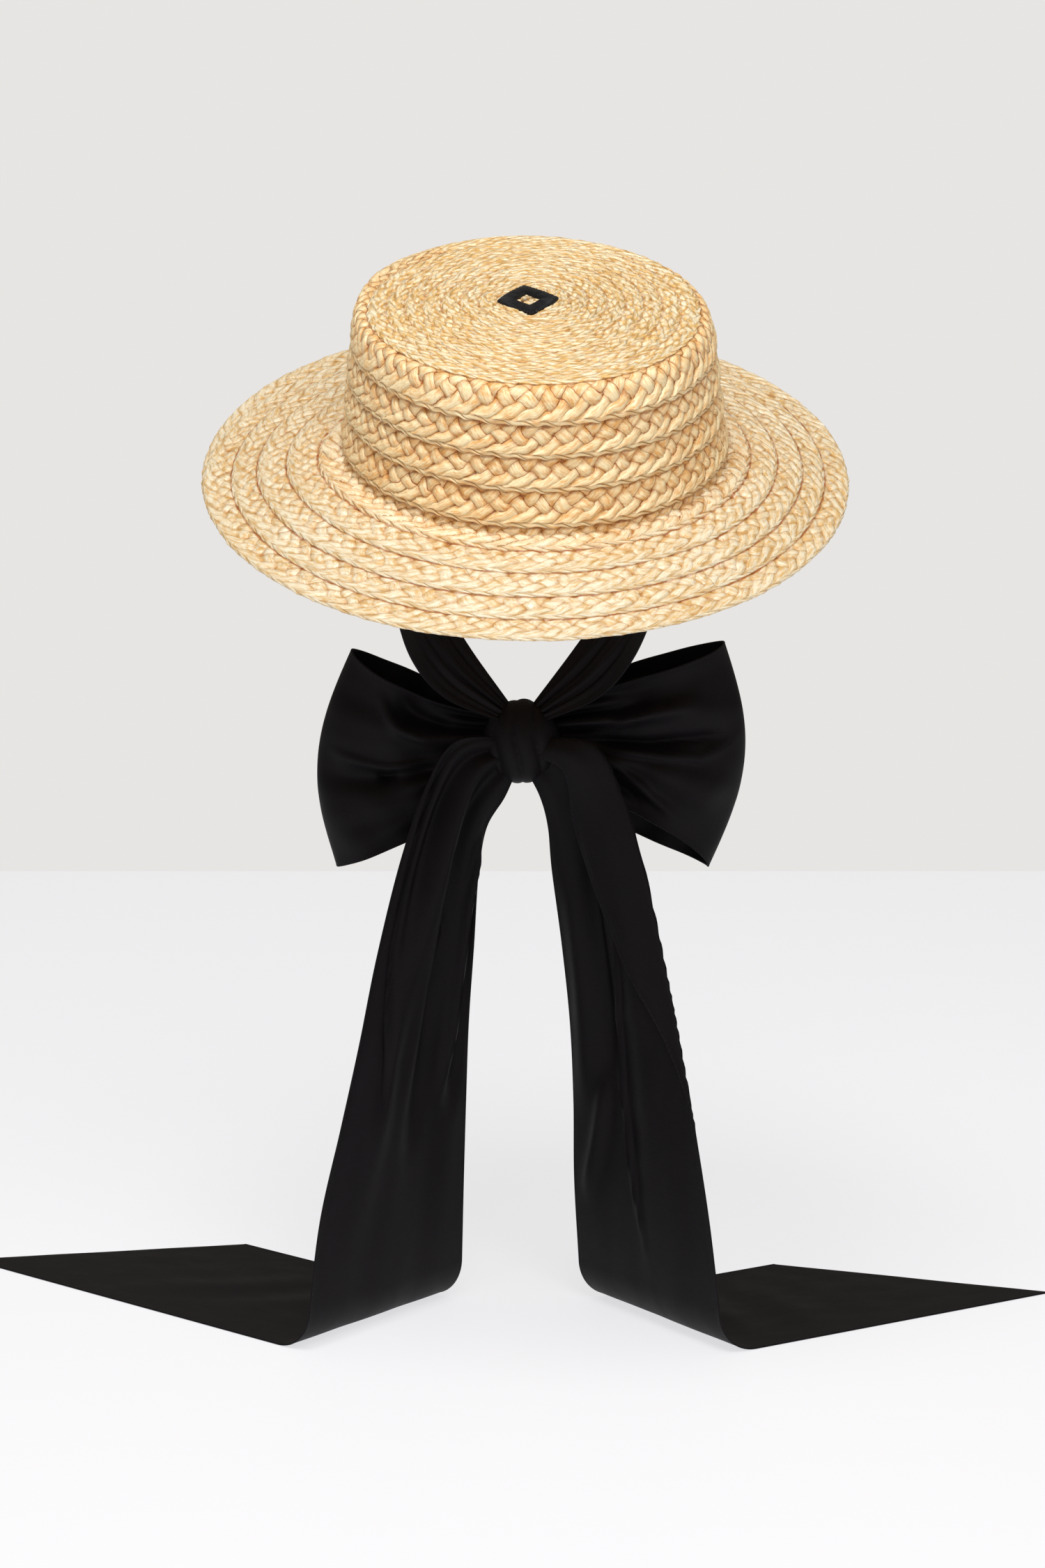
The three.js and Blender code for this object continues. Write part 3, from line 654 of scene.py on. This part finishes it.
def ribbon_finish(name):
    """Black woven ribbon: fine cross ribs, a soft unevenness, and a stitched hem."""
    f = Finish(name, Roughness=0.5, Specular_IOR_Level=0.12)
    along, across, rim = f.split("cloth")
    ribs = (along * (TURN / 0.55)).math("SINE") * 0.5 + (across * (TURN / 0.42)).math("SINE") * 0.35
    cloud = f.noise(f.vector(along * 0.05, across * 0.09, 0.0), 1.0, 3.0)
    slub = f.noise(f.vector(along * 2.4, across * 0.12, 0.0), 1.0, 2.0)
    line = f.between(abs(rim - HEM), 0.5, 0.05)
    stitch = line * f.between((along * (TURN / 2.4)).math("SINE"), -0.7, 0.0)
    hem = f.between(rim, HEM + 0.4, HEM - 0.4)
    colour = f.blend(cloud, linear(RIBBON_BLACK), linear(RIBBON_WORN))
    colour = f.blend(stitch * 0.8, colour, linear(HEM_STITCH))
    height = ribs * 0.09 + slub * 0.12 + cloud * 0.4 + stitch * 0.8 - line * 0.7 + hem * 0.6
    return f.give(
        Base_Color=colour,
        Roughness=cloud * 0.22 + slub * 0.08 + 0.45,
        Normal=f.bump(height, 0.0003, 0.8),
    )


def thread_finish(name):
    """Satin stitches: threads side by side across each stroke of the motif, with a soft gloss and
    painted shade in the grooves between them.
    """
    f = Finish(name, Specular_IOR_Level=0.35)
    around, across, _ = f.split("stitch")
    fray = f.noise(f.vector(around * 0.8, across * 0.3, 0.0), 1.0, 2.0)
    thread = (around * (TURN / 0.62) + fray * 5).math("SINE")
    # Painted shade: darker in the grooves between the threads.
    colour = f.blend(f.between(thread, -0.9, 0.6), linear(THREAD_GROOVE_SHADE), linear(THREAD_BLACK))
    return f.give(
        Base_Color=colour,
        Roughness=fray * 0.25 + 0.3,
        Normal=f.bump(thread * 0.5 + fray * 0.5, 0.0004, 0.9),
    )


# The motif

MOTIF = {"x": -3.5, "y": -4, "width": 28, "length": 36, "window": 0.42}
MOTIF_LIFT = 1.7  # how far the stitches lie over the dome, on top of the braid's strands
MOTIF_DEPTH = 1.6  # how far they reach down between the strands


def motif(material):
    """The stitched lozenge: a ring whose section is half an ellipse, swept from the window's edge
    to the outer edge along a lozenge with slightly rounded corners."""
    around = np.linspace(0, TURN, 241)[:-1][:, None]
    ramp = np.linspace(0, 1, 13)[None, :]
    corner = (np.abs(np.cos(around)) ** 1.12 + np.abs(np.sin(around)) ** 1.12) ** (1 / 1.12)
    edge = 1 + 0.018 * wobble(around * 9, 88, [1.9, 0.83])
    scale = mix(MOTIF["window"], edge, ramp) / corner
    x = MOTIF["x"] + scale * np.cos(around) * MOTIF["width"] / 2
    y = MOTIF["y"] + scale * np.sin(around) * MOTIF["length"] / 2
    k = np.hypot(2 * x / CROWN["top_width"], 2 * y / CROWN["top_length"])
    dome = CROWN["height"] + CROWN_DOME * (1 - k * k)
    puff = 0.9 * np.sqrt(np.maximum(1 - (2 * ramp - 1) ** 2, 0))
    puff = puff + 0.12 * wobble(around * 12 + ramp, 90, [1.7, 2.3])
    upper = np.stack([x, y, dome + MOTIF_LIFT + puff], -1)
    lower = np.stack([x, y, dome + MOTIF_LIFT - MOTIF_DEPTH], -1)
    section = np.concatenate([upper, lower[:, ::-1]], axis=1)
    outer = section[:, ramp.size - 1]
    path = np.cumsum(np.linalg.norm(np.diff(outer, axis=0, append=outer[:1]), axis=1))
    place = np.concatenate([ramp, ramp[:, ::-1]], axis=1) + 0 * path[:, None]
    stitch = np.stack([path[:, None] + 0 * place, place, 0 * place], -1)
    mesh = ring_mesh("motif", hat_to_world(section), "stitch", stitch, joined=True)
    piece("motif_stitches", mesh, material, "motif")


# The ribbon

def ribbon_mesh(name, middle, flat_width):
    """A band of cloth about a grid of points, first along and then across the ribbon, a little
    thicker along its two hems. The attribute holds lengths in millimetres along and across it."""
    steps = np.linalg.norm(np.diff(middle, axis=0), axis=-1).mean(axis=1)
    along = np.concatenate([[0], np.cumsum(steps)])[:, None] + 0 * middle[..., 0]
    across = np.linspace(0, flat_width, middle.shape[1])[None, :] + 0 * middle[..., 0]
    rim = np.minimum(across, flat_width - across)
    half = CLOTH / 2 * (1 + HEM_SWELL * smooth(HEM + 0.8, HEM - 0.4, rim)) * smooth(-0.6, 0.8, rim)
    normal = surface_normals(middle) * half[..., None]
    cloth = np.stack([along, across, rim], -1)
    return band_mesh(name, middle - normal, middle + normal, {"cloth": (cloth, cloth)})


def cloth_piece(name, node, middle, flat_width, material):
    """A piece of ribbon about a grid of points, with the width of the flat strip that it was cut
    from."""
    mesh = ribbon_mesh(name, middle, flat_width)
    cloth = piece(name, mesh, material, node)
    return cloth


def creases(lines, u, v):
    """The sum of a ribbon's creases. Each follows a line of places (u, v), stands out by a height
    as a bell of a width across v, and fades at its ends."""
    total = 0 * u * v
    for places, width, height in lines:
        us, vs = np.array(places).T
        fade = 0.3 * (us[-1] - us[0])
        window = smooth(us[0], us[0] + fade, u) * smooth(us[-1], us[-1] - fade, u)
        total = total + height * window * np.exp(-((v - np.interp(u, us, vs)) / width) ** 2)
    return total


def hem_shares(count, flat_width):
    """Shares across the ribbon, close together at the hems."""
    inner = np.linspace(HEM + 1, flat_width - HEM - 1, count)
    edges = np.array([0, 0.5, 1.4, 2.3, HEM - 0.3, HEM + 0.3])
    return np.concatenate([edges, inner, flat_width - edges[::-1]]) / flat_width


# The bow's two loops: where the upper and the lower edge end (x, z), how far the end swells out
# between them, the powers by which the edges fan out from the knot, the depth of the loop, how
# far its end leans back, how far its front sags from the upper edge and rises from the lower
# one, and its creases.
LOOP_START = 0.22  # the angle of the teardrop at which the knot lets go of the cloth
LOOP_PLEAT = 4.2  # depth of the pleats at the knot
LOOPS = [
    {
        "name": "bow_loop_left", "side": -1, "seed": 4,
        "top": (-89, -103), "bottom": (-97, -211), "swell": 13,
        "top_fan": 1.0, "bottom_fan": 0.62, "depth": 17, "lean": 8, "top_sag": 8, "bottom_rise": 0,
        "creases": [
            ([(0.30, 0.45), (0.54, 0.49), (0.61, 0.50), (0.99, 0.42)], 0.022, 3),
            ([(0.25, 0.53), (0.60, 0.59), (0.98, 0.55)], 0.07, -5),
            ([(0.34, 0.32), (0.48, 0.28), (0.59, 0.24), (0.67, 0.18), (0.80, 0.06)], 0.035, 4),
            ([(0.25, 0.22), (0.50, 0.14), (0.70, 0.05)], 0.06, -5),
            ([(0.54, 0.53), (0.60, 0.56), (0.68, 0.55)], 0.03, -4),
            ([(0.30, 0.86), (0.98, 0.93)], 0.07, 3),
        ],
    },
    {
        "name": "bow_loop_right", "side": 1, "seed": 9,
        "top": (93, -99), "bottom": (86, -211), "swell": 14,
        "top_fan": 0.62, "bottom_fan": 0.66, "depth": 17, "lean": 6, "top_sag": 6, "bottom_rise": 13,
        "creases": [
            ([(0.18, 0.42), (0.34, 0.37), (0.43, 0.29), (0.53, 0.25), (0.85, 0.22)], 0.05, 5),
            ([(0.18, 0.50), (0.34, 0.50), (0.53, 0.49), (0.67, 0.45), (0.98, 0.40)], 0.04, -5.5),
            ([(0.25, 0.57), (0.58, 0.57), (0.78, 0.55), (0.88, 0.49), (1.0, 0.38)], 0.025, 3.5),
            ([(0.20, 0.62), (0.40, 0.72), (0.60, 0.86), (0.80, 0.92)], 0.03, 4),
            ([(0.20, 0.72), (0.60, 0.95)], 0.04, -3),
            ([(0.50, 0.70), (0.99, 0.74)], 0.08, 3.5),
        ],
    },
]


def bow_loop(shape, material):
    """A loop of the bow: from above a teardrop, (1 - cos) / 2 out and a sine deep, while the
    ribbon's two edges fan out from the knot. Pleats run out from the knot and fade."""
    phi = np.linspace(LOOP_START, TURN - LOOP_START, 150)[:, None]
    v = hem_shares(46, RIBBON_WIDTH)[None, :]
    out = (1 - np.cos(phi)) / 2
    front = np.where(phi < pi, 1.0, 0.6)
    root_x = KNOT["x"] + shape["side"] * KNOT["width"] * 0.3
    end_x = mix(shape["top"][0], shape["bottom"][0], v) + shape["side"] * shape["swell"] * np.sin(pi * v)
    top = mix(KNOT["z"] + 15, shape["top"][1], out ** shape["top_fan"])
    bottom = mix(KNOT["z"] - 15, shape["bottom"][1], out ** shape["bottom_fan"])
    in_front = np.maximum(np.sin(phi), 0)
    top = top - shape["top_sag"] * in_front
    bottom = bottom + shape["bottom_rise"] * in_front
    hold = np.sin(pi / 2 * np.minimum(1, out * 4))
    pleats = mix(LOOP_PLEAT, 1.0, out) * np.sin(TURN * 2.5 * v)
    pleats = pleats + mix(LOOP_PLEAT, 0, smooth(0.05, 0.55, out)) * np.sin(TURN * 6 * v)
    seed = shape["seed"]
    rays = wobble(v, seed, [0.31, 0.19, 0.13]) * mix(3.4, 0.5, smooth(0.05, 0.75, out))
    pinch = -4.5 * np.exp(-((v - 0.52 - 0.05 * out) / mix(0.035, 0.09, out)) ** 2) * smooth(0.75, 0.2, out)
    soft = 1.1 * wobble(out * 3 + v * 1.5, seed + 1, [1.3, 0.8]) * smooth(0.1, 0.5, out)
    opening = shape["depth"] * np.sin(phi) * np.sin(phi / 2) ** 2 + 3 * np.cos(phi / 2)
    fold = (pleats * 0.8 + rays + pinch) * hold * front + soft
    fold = fold - creases(shape["creases"], out, v) * (phi < pi)
    middle = np.stack([
        mix(root_x, end_x, out),
        KNOT["y"] + 4 + shape["lean"] * out - opening + fold,
        mix(top, bottom, v),
    ], -1)
    return cloth_piece(shape["name"] + "_cloth", shape["name"], middle, RIBBON_WIDTH, material)


# The two tails. Across a tail there are so many folds, shifted by a turn. On the floor it lies
# along its heading (x, y), for one length at its left edge and one at its right. Each section of
# the hanging part has its left and right edges (x, y, z), the depth of its folds, and the width
# of the strip that is folded forward over the right edge.
TAILS = [
    {
        "name": "tail_left", "folds": 2.5, "turn": 0.0, "seed": 31,
        "heading": (-0.748, 0.664), "lengths": (229, 134),
        "sections": [
            (-13, 69, -144, -8, 72, -160, 1, 0),
            (-38, 59, -145, -14, 73, -174, 3, 0),
            (-52, 56.5, -166, -23, 79, -190, 4, 0),
            (-64.5, 53, -202, -27, 83.5, -212, 4, 0),
            (-76, 44, -248, -29.5, 88, -250, 3.5, 0),
            (-84.5, 35.5, -290, -32.3, 92, -290, 3, 0),
            (-93.4, 27.9, -330, -33.8, 96.5, -330, 2, 0),
            (-103, 20, -372, -35.1, 101, -372, 1, 0),
            (-108.5, 12, -415, -36.2, 105, -415, 0.3, 0),
        ],
        "creases": [
            ([(0.05, 0.05), (0.34, 0.13), (0.49, 0.15), (0.64, 0.24), (0.80, 0.27)], 0.035, -5),
            ([(0.10, 0.50), (0.40, 0.43), (0.53, 0.34), (0.66, 0.28), (0.99, 0.30)], 0.12, 6),
            ([(0.33, 0.51), (0.39, 0.56), (0.45, 0.66), (0.49, 0.72)], 0.018, -4),
            ([(0.25, 0.95), (0.36, 0.94), (0.44, 0.87), (0.64, 0.83), (0.78, 0.76)], 0.035, 5),
            ([(0.35, 0.98), (0.50, 0.93), (0.80, 0.86)], 0.05, -4),
            ([(0.45, 0.72), (0.55, 0.62), (0.85, 0.55)], 0.07, -4),
        ],
    },
    {
        "name": "tail_right", "folds": 1.5, "turn": 0.5, "seed": 57,
        "heading": (0.848, 0.53), "lengths": (99, 183),
        "sections": [
            (-4, 72, -160, 1, 69, -144, 1, 8),
            (3, 73, -174, 29, 59, -146, 2, 20),
            (7, 79, -190, 43, 58, -170, 3, 29),
            (9, 83.5, -212, 54, 52, -206, 3, 31),
            (14, 89, -250, 63.5, 43, -250, 2.5, 24),
            (18.2, 92.5, -290, 71.3, 34, -290, 2, 9),
            (20.1, 97, -330, 77.9, 25.1, -330, 2, 0),
            (20.6, 101, -372, 84.4, 17, -372, 1, 0),
            (23, 105, -415, 89.5, 8, -415, 0.3, 0),
        ],
        "creases": [
            (
                [(0.42, 0.56), (0.52, 0.52), (0.60, 0.46), (0.71, 0.43), (0.85, 0.46), (0.99, 0.53)],
                0.016, 3,
            ),
            ([(0.35, 0.20), (0.50, 0.17), (0.80, 0.11)], 0.08, 3),
            ([(0.68, 0.30), (0.78, 0.22), (0.92, 0.08)], 0.05, 3),
            ([(0.25, 0.35), (0.75, 0.33)], 0.08, -4),
        ],
    },
]
CURL_RADIUS = 22  # of the bend where a tail meets the floor
LYING_HEIGHT = 0.6  # of the cloth's middle over the floor
FLAP_STAND_OFF = 5  # how far the folded strip stands before the cloth behind it


def hanging_section(shape, t, v):
    """Points of a tail's hanging part, t down it and v across. Sine folds lie across each
    section, and the strip past the flap's fold comes back over the front."""
    row = through(shape["sections"], t)
    left, right = row[..., 0:3], row[..., 3:6]
    fold, flap = row[..., 6], np.maximum(row[..., 7], 0)
    turned = np.minimum(0.45, flap / RIBBON_WIDTH)
    across = right - left
    length = np.linalg.norm(across, axis=-1)
    face = unit(np.stack([across[..., 1], -across[..., 0], 0 * length], -1))
    under = 1 - turned
    behind = v <= under
    share = np.where(behind, v / under, 1 - (v - under) / np.maximum(turned, 1e-6) * flap / length)
    wave = fold * np.sin(TURN * shape["folds"] * share + pi * shape["turn"]) * np.sin(pi * share)
    wave += 0.28 * fold * wobble(share + 0.25 * t, shape["seed"], [0.37, 0.21]) * np.sin(pi * share)
    wave += creases(shape["creases"], t, share) * smooth(0, 0.03, share) * smooth(1, 0.97, share)
    stand = np.where(behind, 0, FLAP_STAND_OFF * np.minimum(1, (1 - share) * 4))
    depth = np.where(behind, wave, stand + wave * 0.3)
    return left + across * share[..., None] + face * depth[..., None]


def tail(shape, material):
    """A tail: it hangs, bends through a quarter circle at the floor and lies along its heading
    to a slanted cut."""
    hang, curl, lie = 150, 16, 50
    v = hem_shares(46, RIBBON_WIDTH)[None, :]
    t = np.linspace(0, 1, hang)[:, None]
    down = hanging_section(shape, t + 0 * v, v + 0 * t)
    heading = np.array([*shape["heading"], 0.0])
    foot = down[-1:]
    rest = FLOOR + LYING_HEIGHT
    bend = (np.linspace(0, 1, curl + 1)[1:] * pi / 2)[:, None, None]
    ahead = foot + heading * CURL_RADIUS * (1 - np.cos(bend))
    ahead[..., 2] += ((rest - foot[..., 2]) * np.sin(bend[..., 0]))
    run = np.linspace(0, 1, lie + 1)[1:][:, None]
    laid = ahead[-1:] + heading * (run * mix(shape["lengths"][0], shape["lengths"][1], v))[..., None]
    ripple = 1.2 * (1 + wobble(run * 3 + v, shape["seed"] + 2, [1.1, 0.7]))
    laid[..., 2] += ripple * smooth(0, 0.15, run) * (1 - run) * np.sin(pi * v) ** 2
    middle = np.concatenate([down, ahead, laid])
    return cloth_piece(shape["name"] + "_cloth", shape["name"], middle, RIBBON_WIDTH, material)


# A tie is sewn inside the crown between two angles, in degrees from straight right. From there
# its two edges (x, y, z) run down to the knot. The left tie mirrors the right one.
TIE_SEAM = {"height": 9, "angles": (-6, 24)}
TIE_CLEARANCE = 1.2  # from the inside of the crown
TIE_PATH = [
    (72, 20, -36, 69, 58, -12),
    (63, 37, -74, 55, 74, -46),
    (53, 50, -104, 40, 81, -79),
    (37, 61, -124, 26, 80, -101),
    (9, 68, -137, 6, 75, -128),
]
TIE_BOW = 3.5  # how far a tie bulges outwards


def tie(name, side, material):
    """A tie: between its two edge curves, from the seam inside the crown to the knot, bulging
    outwards as a sine across."""
    drop = 1 - TIE_SEAM["height"] / CROWN["height"]
    a = mix(CROWN["top_width"], CROWN["base_width"], drop) / 2 - STRAW - TIE_CLEARANCE
    b = mix(CROWN["top_length"], CROWN["base_length"], drop) / 2 - STRAW - TIE_CLEARANCE
    rows = []
    for degrees in TIE_SEAM["angles"]:
        angle = radians(degrees) if side > 0 else pi - radians(degrees)
        point = (CROWN_LEAN * (1 - drop) + a * cos(angle), b * sin(angle), TIE_SEAM["height"])
        rows.append(hat_to_world(np.array(point)))
    path = np.array(TIE_PATH, float)
    shift = KNOT["x"] * np.minimum(1, -path[:, [2, 5]] / 110)
    path[:, 0] = path[:, 0] * side + shift[:, 0]
    path[:, 3] = path[:, 3] * side + shift[:, 1]
    table = np.vstack([np.concatenate(rows), path])
    u = np.linspace(0, 1, 90)[:, None]
    v = hem_shares(28, RIBBON_WIDTH)[None, :]
    edges = through(table, u + 0 * v)
    middle = mix(edges[..., 0:3], edges[..., 3:6], v[..., None])
    bulge = np.sin(pi * v) * np.sin(pi * np.minimum(1, u * 1.4))
    pleats = 2.8 * wobble(v, 70 + side, [0.29, 0.17]) * smooth(0.35, 0.9, u) * np.sin(pi * v)
    outward = unit(np.array([side, 0.7, 0.0]))
    middle = middle + outward * (TIE_BOW * bulge + pleats)[..., None]
    if side < 0:
        middle = middle[:, ::-1]
    return cloth_piece(name + "_cloth", name, middle, RIBBON_WIDTH / 2, material)


def knot(material):
    """The knot: a puffed cushion whose upright furrows are sharp valleys between round rolls."""
    theta = np.linspace(0, TURN, 121)[:-1][None, :]
    phi = np.linspace(0, pi, 70)[:, None]
    x, y, z = np.sin(phi) * np.cos(theta), np.sin(phi) * np.sin(theta), np.cos(phi) + 0 * theta
    bend = x + 0.12 * np.sin(2.2 * z + 0.6)
    roll = np.abs(np.sin(pi * 1.9 * bend + 0.5)) ** 0.6
    furrow = 1 - 0.17 * (1 - roll) * np.sqrt(np.maximum(1 - z * z, 0))
    square = 1 + 0.12 * (1 - np.abs(z) ** 3)
    surface = np.stack([
        KNOT["x"] + x * square * KNOT["width"] / 2,
        KNOT["y"] + y * furrow * square * KNOT["depth"] / 2,
        KNOT["z"] + z * KNOT["height"] / 2 * (1 - 0.05 * (1 - roll)),
    ], -1)
    cloth = np.stack([z * 30, x * 40, 20 + 0 * x], -1)
    mesh = ring_mesh("bow_knot", surface, "cloth", cloth)
    piece("bow_knot_cloth", mesh, material, "bow_knot")


# The stage

def stage_floor():
    """A white floor that glows a little, so that shadows on it stay faint. It ends behind the
    part, where the wall of the world's colour begins."""
    x, near, far = 6.0, -6.0, 1.4
    z = FLOOR * MM
    mesh = bpy.data.meshes.new("floor")
    mesh.from_pydata([(-x, near, z), (x, near, z), (x, far, z), (-x, far, z)], [], [(0, 1, 2, 3)])
    floor = bpy.data.objects.new("floor", mesh)
    bpy.context.scene.collection.objects.link(floor)
    f = Finish("white floor", Roughness=0.6, Specular_IOR_Level=0.1, Emission_Strength=1.0)
    f.give(Base_Color=linear(FLOOR_SHEET), Emission_Color=linear(FLOOR_GLOW))
    mesh.materials.append(f.material)


def soft_light(name, place, aim, size, power):
    """A square soft light at a place, turned to face a point."""
    data = bpy.data.lights.new(name, "AREA")
    data.shape = "SQUARE"
    data.size = size
    data.energy = power
    light = bpy.data.objects.new(name, data)
    bpy.context.scene.collection.objects.link(light)
    light.location = place
    direction = np.array(aim, float) - np.array(place, float)
    light.rotation_euler = Vector(direction).to_track_quat("-Z", "Y").to_euler()
    light.visible_camera = False


def studio():
    """The wall's grey to the camera and a dimmer sky for the light, with soft lights above."""
    world = bpy.data.worlds.new("soft studio")
    world.use_nodes = True
    nodes = Nodes(world.node_tree)
    seen = nodes.node("LightPath", out="Is Camera Ray")
    colour = nodes.blend(seen, linear(SKY_GREY), linear(WALL_GREY))
    feed(nodes.tree, nodes.tree.nodes["Background"].inputs["Color"], colour)
    bpy.context.scene.world = world
    bpy.context.scene.view_settings.view_transform = "Standard"
    soft_light("overhead", (-0.2, -0.8, 1.35), (0, 0, 0), 0.6, 15.5)
    soft_light("front", (0.3, -1.9, 1.5), (0, 0, -0.1), 1.2, 29)


def camera():
    """The photograph's view: a long lens a little above the hat, looking slightly down."""
    data = bpy.data.cameras.new("camera")
    data.sensor_width = 36
    data.lens = CAMERA_LENS
    cam = bpy.data.objects.new("camera", data)
    bpy.context.scene.collection.objects.link(cam)
    cam.location = CAMERA_PLACE
    cam.rotation_euler = (radians(90) - CAMERA_DOWN, 0, 0)
    bpy.context.scene.camera = cam


# The build

studio()
camera()
stage_floor()

ribbon = ribbon_finish("black woven ribbon")
top_straw = straw_finish(
    "crown top raffia", TOP_COLOURS, TOP_EDGE_SHADOW, UNEVEN_TOP, CORD_TOP,
    gap_shading=0.2, dive_shading=0.7, edge_shadow_share=0.6, smudges=0.75, covered_shade=0, bump=0.95,
)
side_straw = straw_finish(
    "crown side raffia", SIDE_COLOURS, SIDE_EDGE_SHADOW, UNEVEN_SIDE, CORD_SIDE,
    gap_shading=0.95, dive_shading=0.85, edge_shadow_share=0.7, smudges=0.2, covered_shade=0.25, bump=1.1,
)
bend_straw = straw_finish(
    "crown base raffia", BEND_COLOURS, SIDE_EDGE_SHADOW, UNEVEN_BRIM, CORD_BRIM,
    gap_shading=0.6, dive_shading=0.8, edge_shadow_share=0.8, smudges=0.2, covered_shade=0.4, bump=1.0,
)
brim_straw = straw_finish(
    "brim raffia", BRIM_COLOURS, BRIM_EDGE_SHADOW, UNEVEN_BRIM, CORD_BRIM,
    gap_shading=0.15, dive_shading=0.9, edge_shadow_share=1.0, smudges=0.4, covered_shade=0.1, bump=0.7,
)

length, turns = spiral(BRAID_STEP)
SIDE_END = TOP_ROWS + SIDE_ROWS
RUNS = [
    ("crown_middle_braid", 0, 6.5, "crown", "crown_straw", top_straw),
    ("crown_rim_braid", 6.5, TOP_ROWS, "crown", "crown_straw", top_straw),
    ("crown_side_braid", TOP_ROWS, SIDE_END, "crown", "crown_straw", side_straw),
    ("bent_brim_braid", SIDE_END, SIDE_END + 1, "brim", "brim_straw", bend_straw),
    ("inner_brim_braid", SIDE_END + 1, 16.5, "brim", "brim_straw", brim_straw),
    ("outer_brim_braid", 16.5, ROUNDS + 1, "brim", "brim_straw", brim_straw),
]
for name, start, end, node, slot, material in RUNS:
    inside = np.flatnonzero((turns >= start) & (turns <= end))
    kept = np.arange(inside[0], min(inside[-1] + 2, len(turns)))
    braid(name, length[kept], turns[kept], node, material)

motif(thread_finish("black satin thread"))
for shape in LOOPS:
    bow_loop(shape, ribbon)
for shape in TAILS:
    tail(shape, ribbon)
for name, side in (("tie_left", -1), ("tie_right", 1)):
    tie(name, side, ribbon)
knot(ribbon)
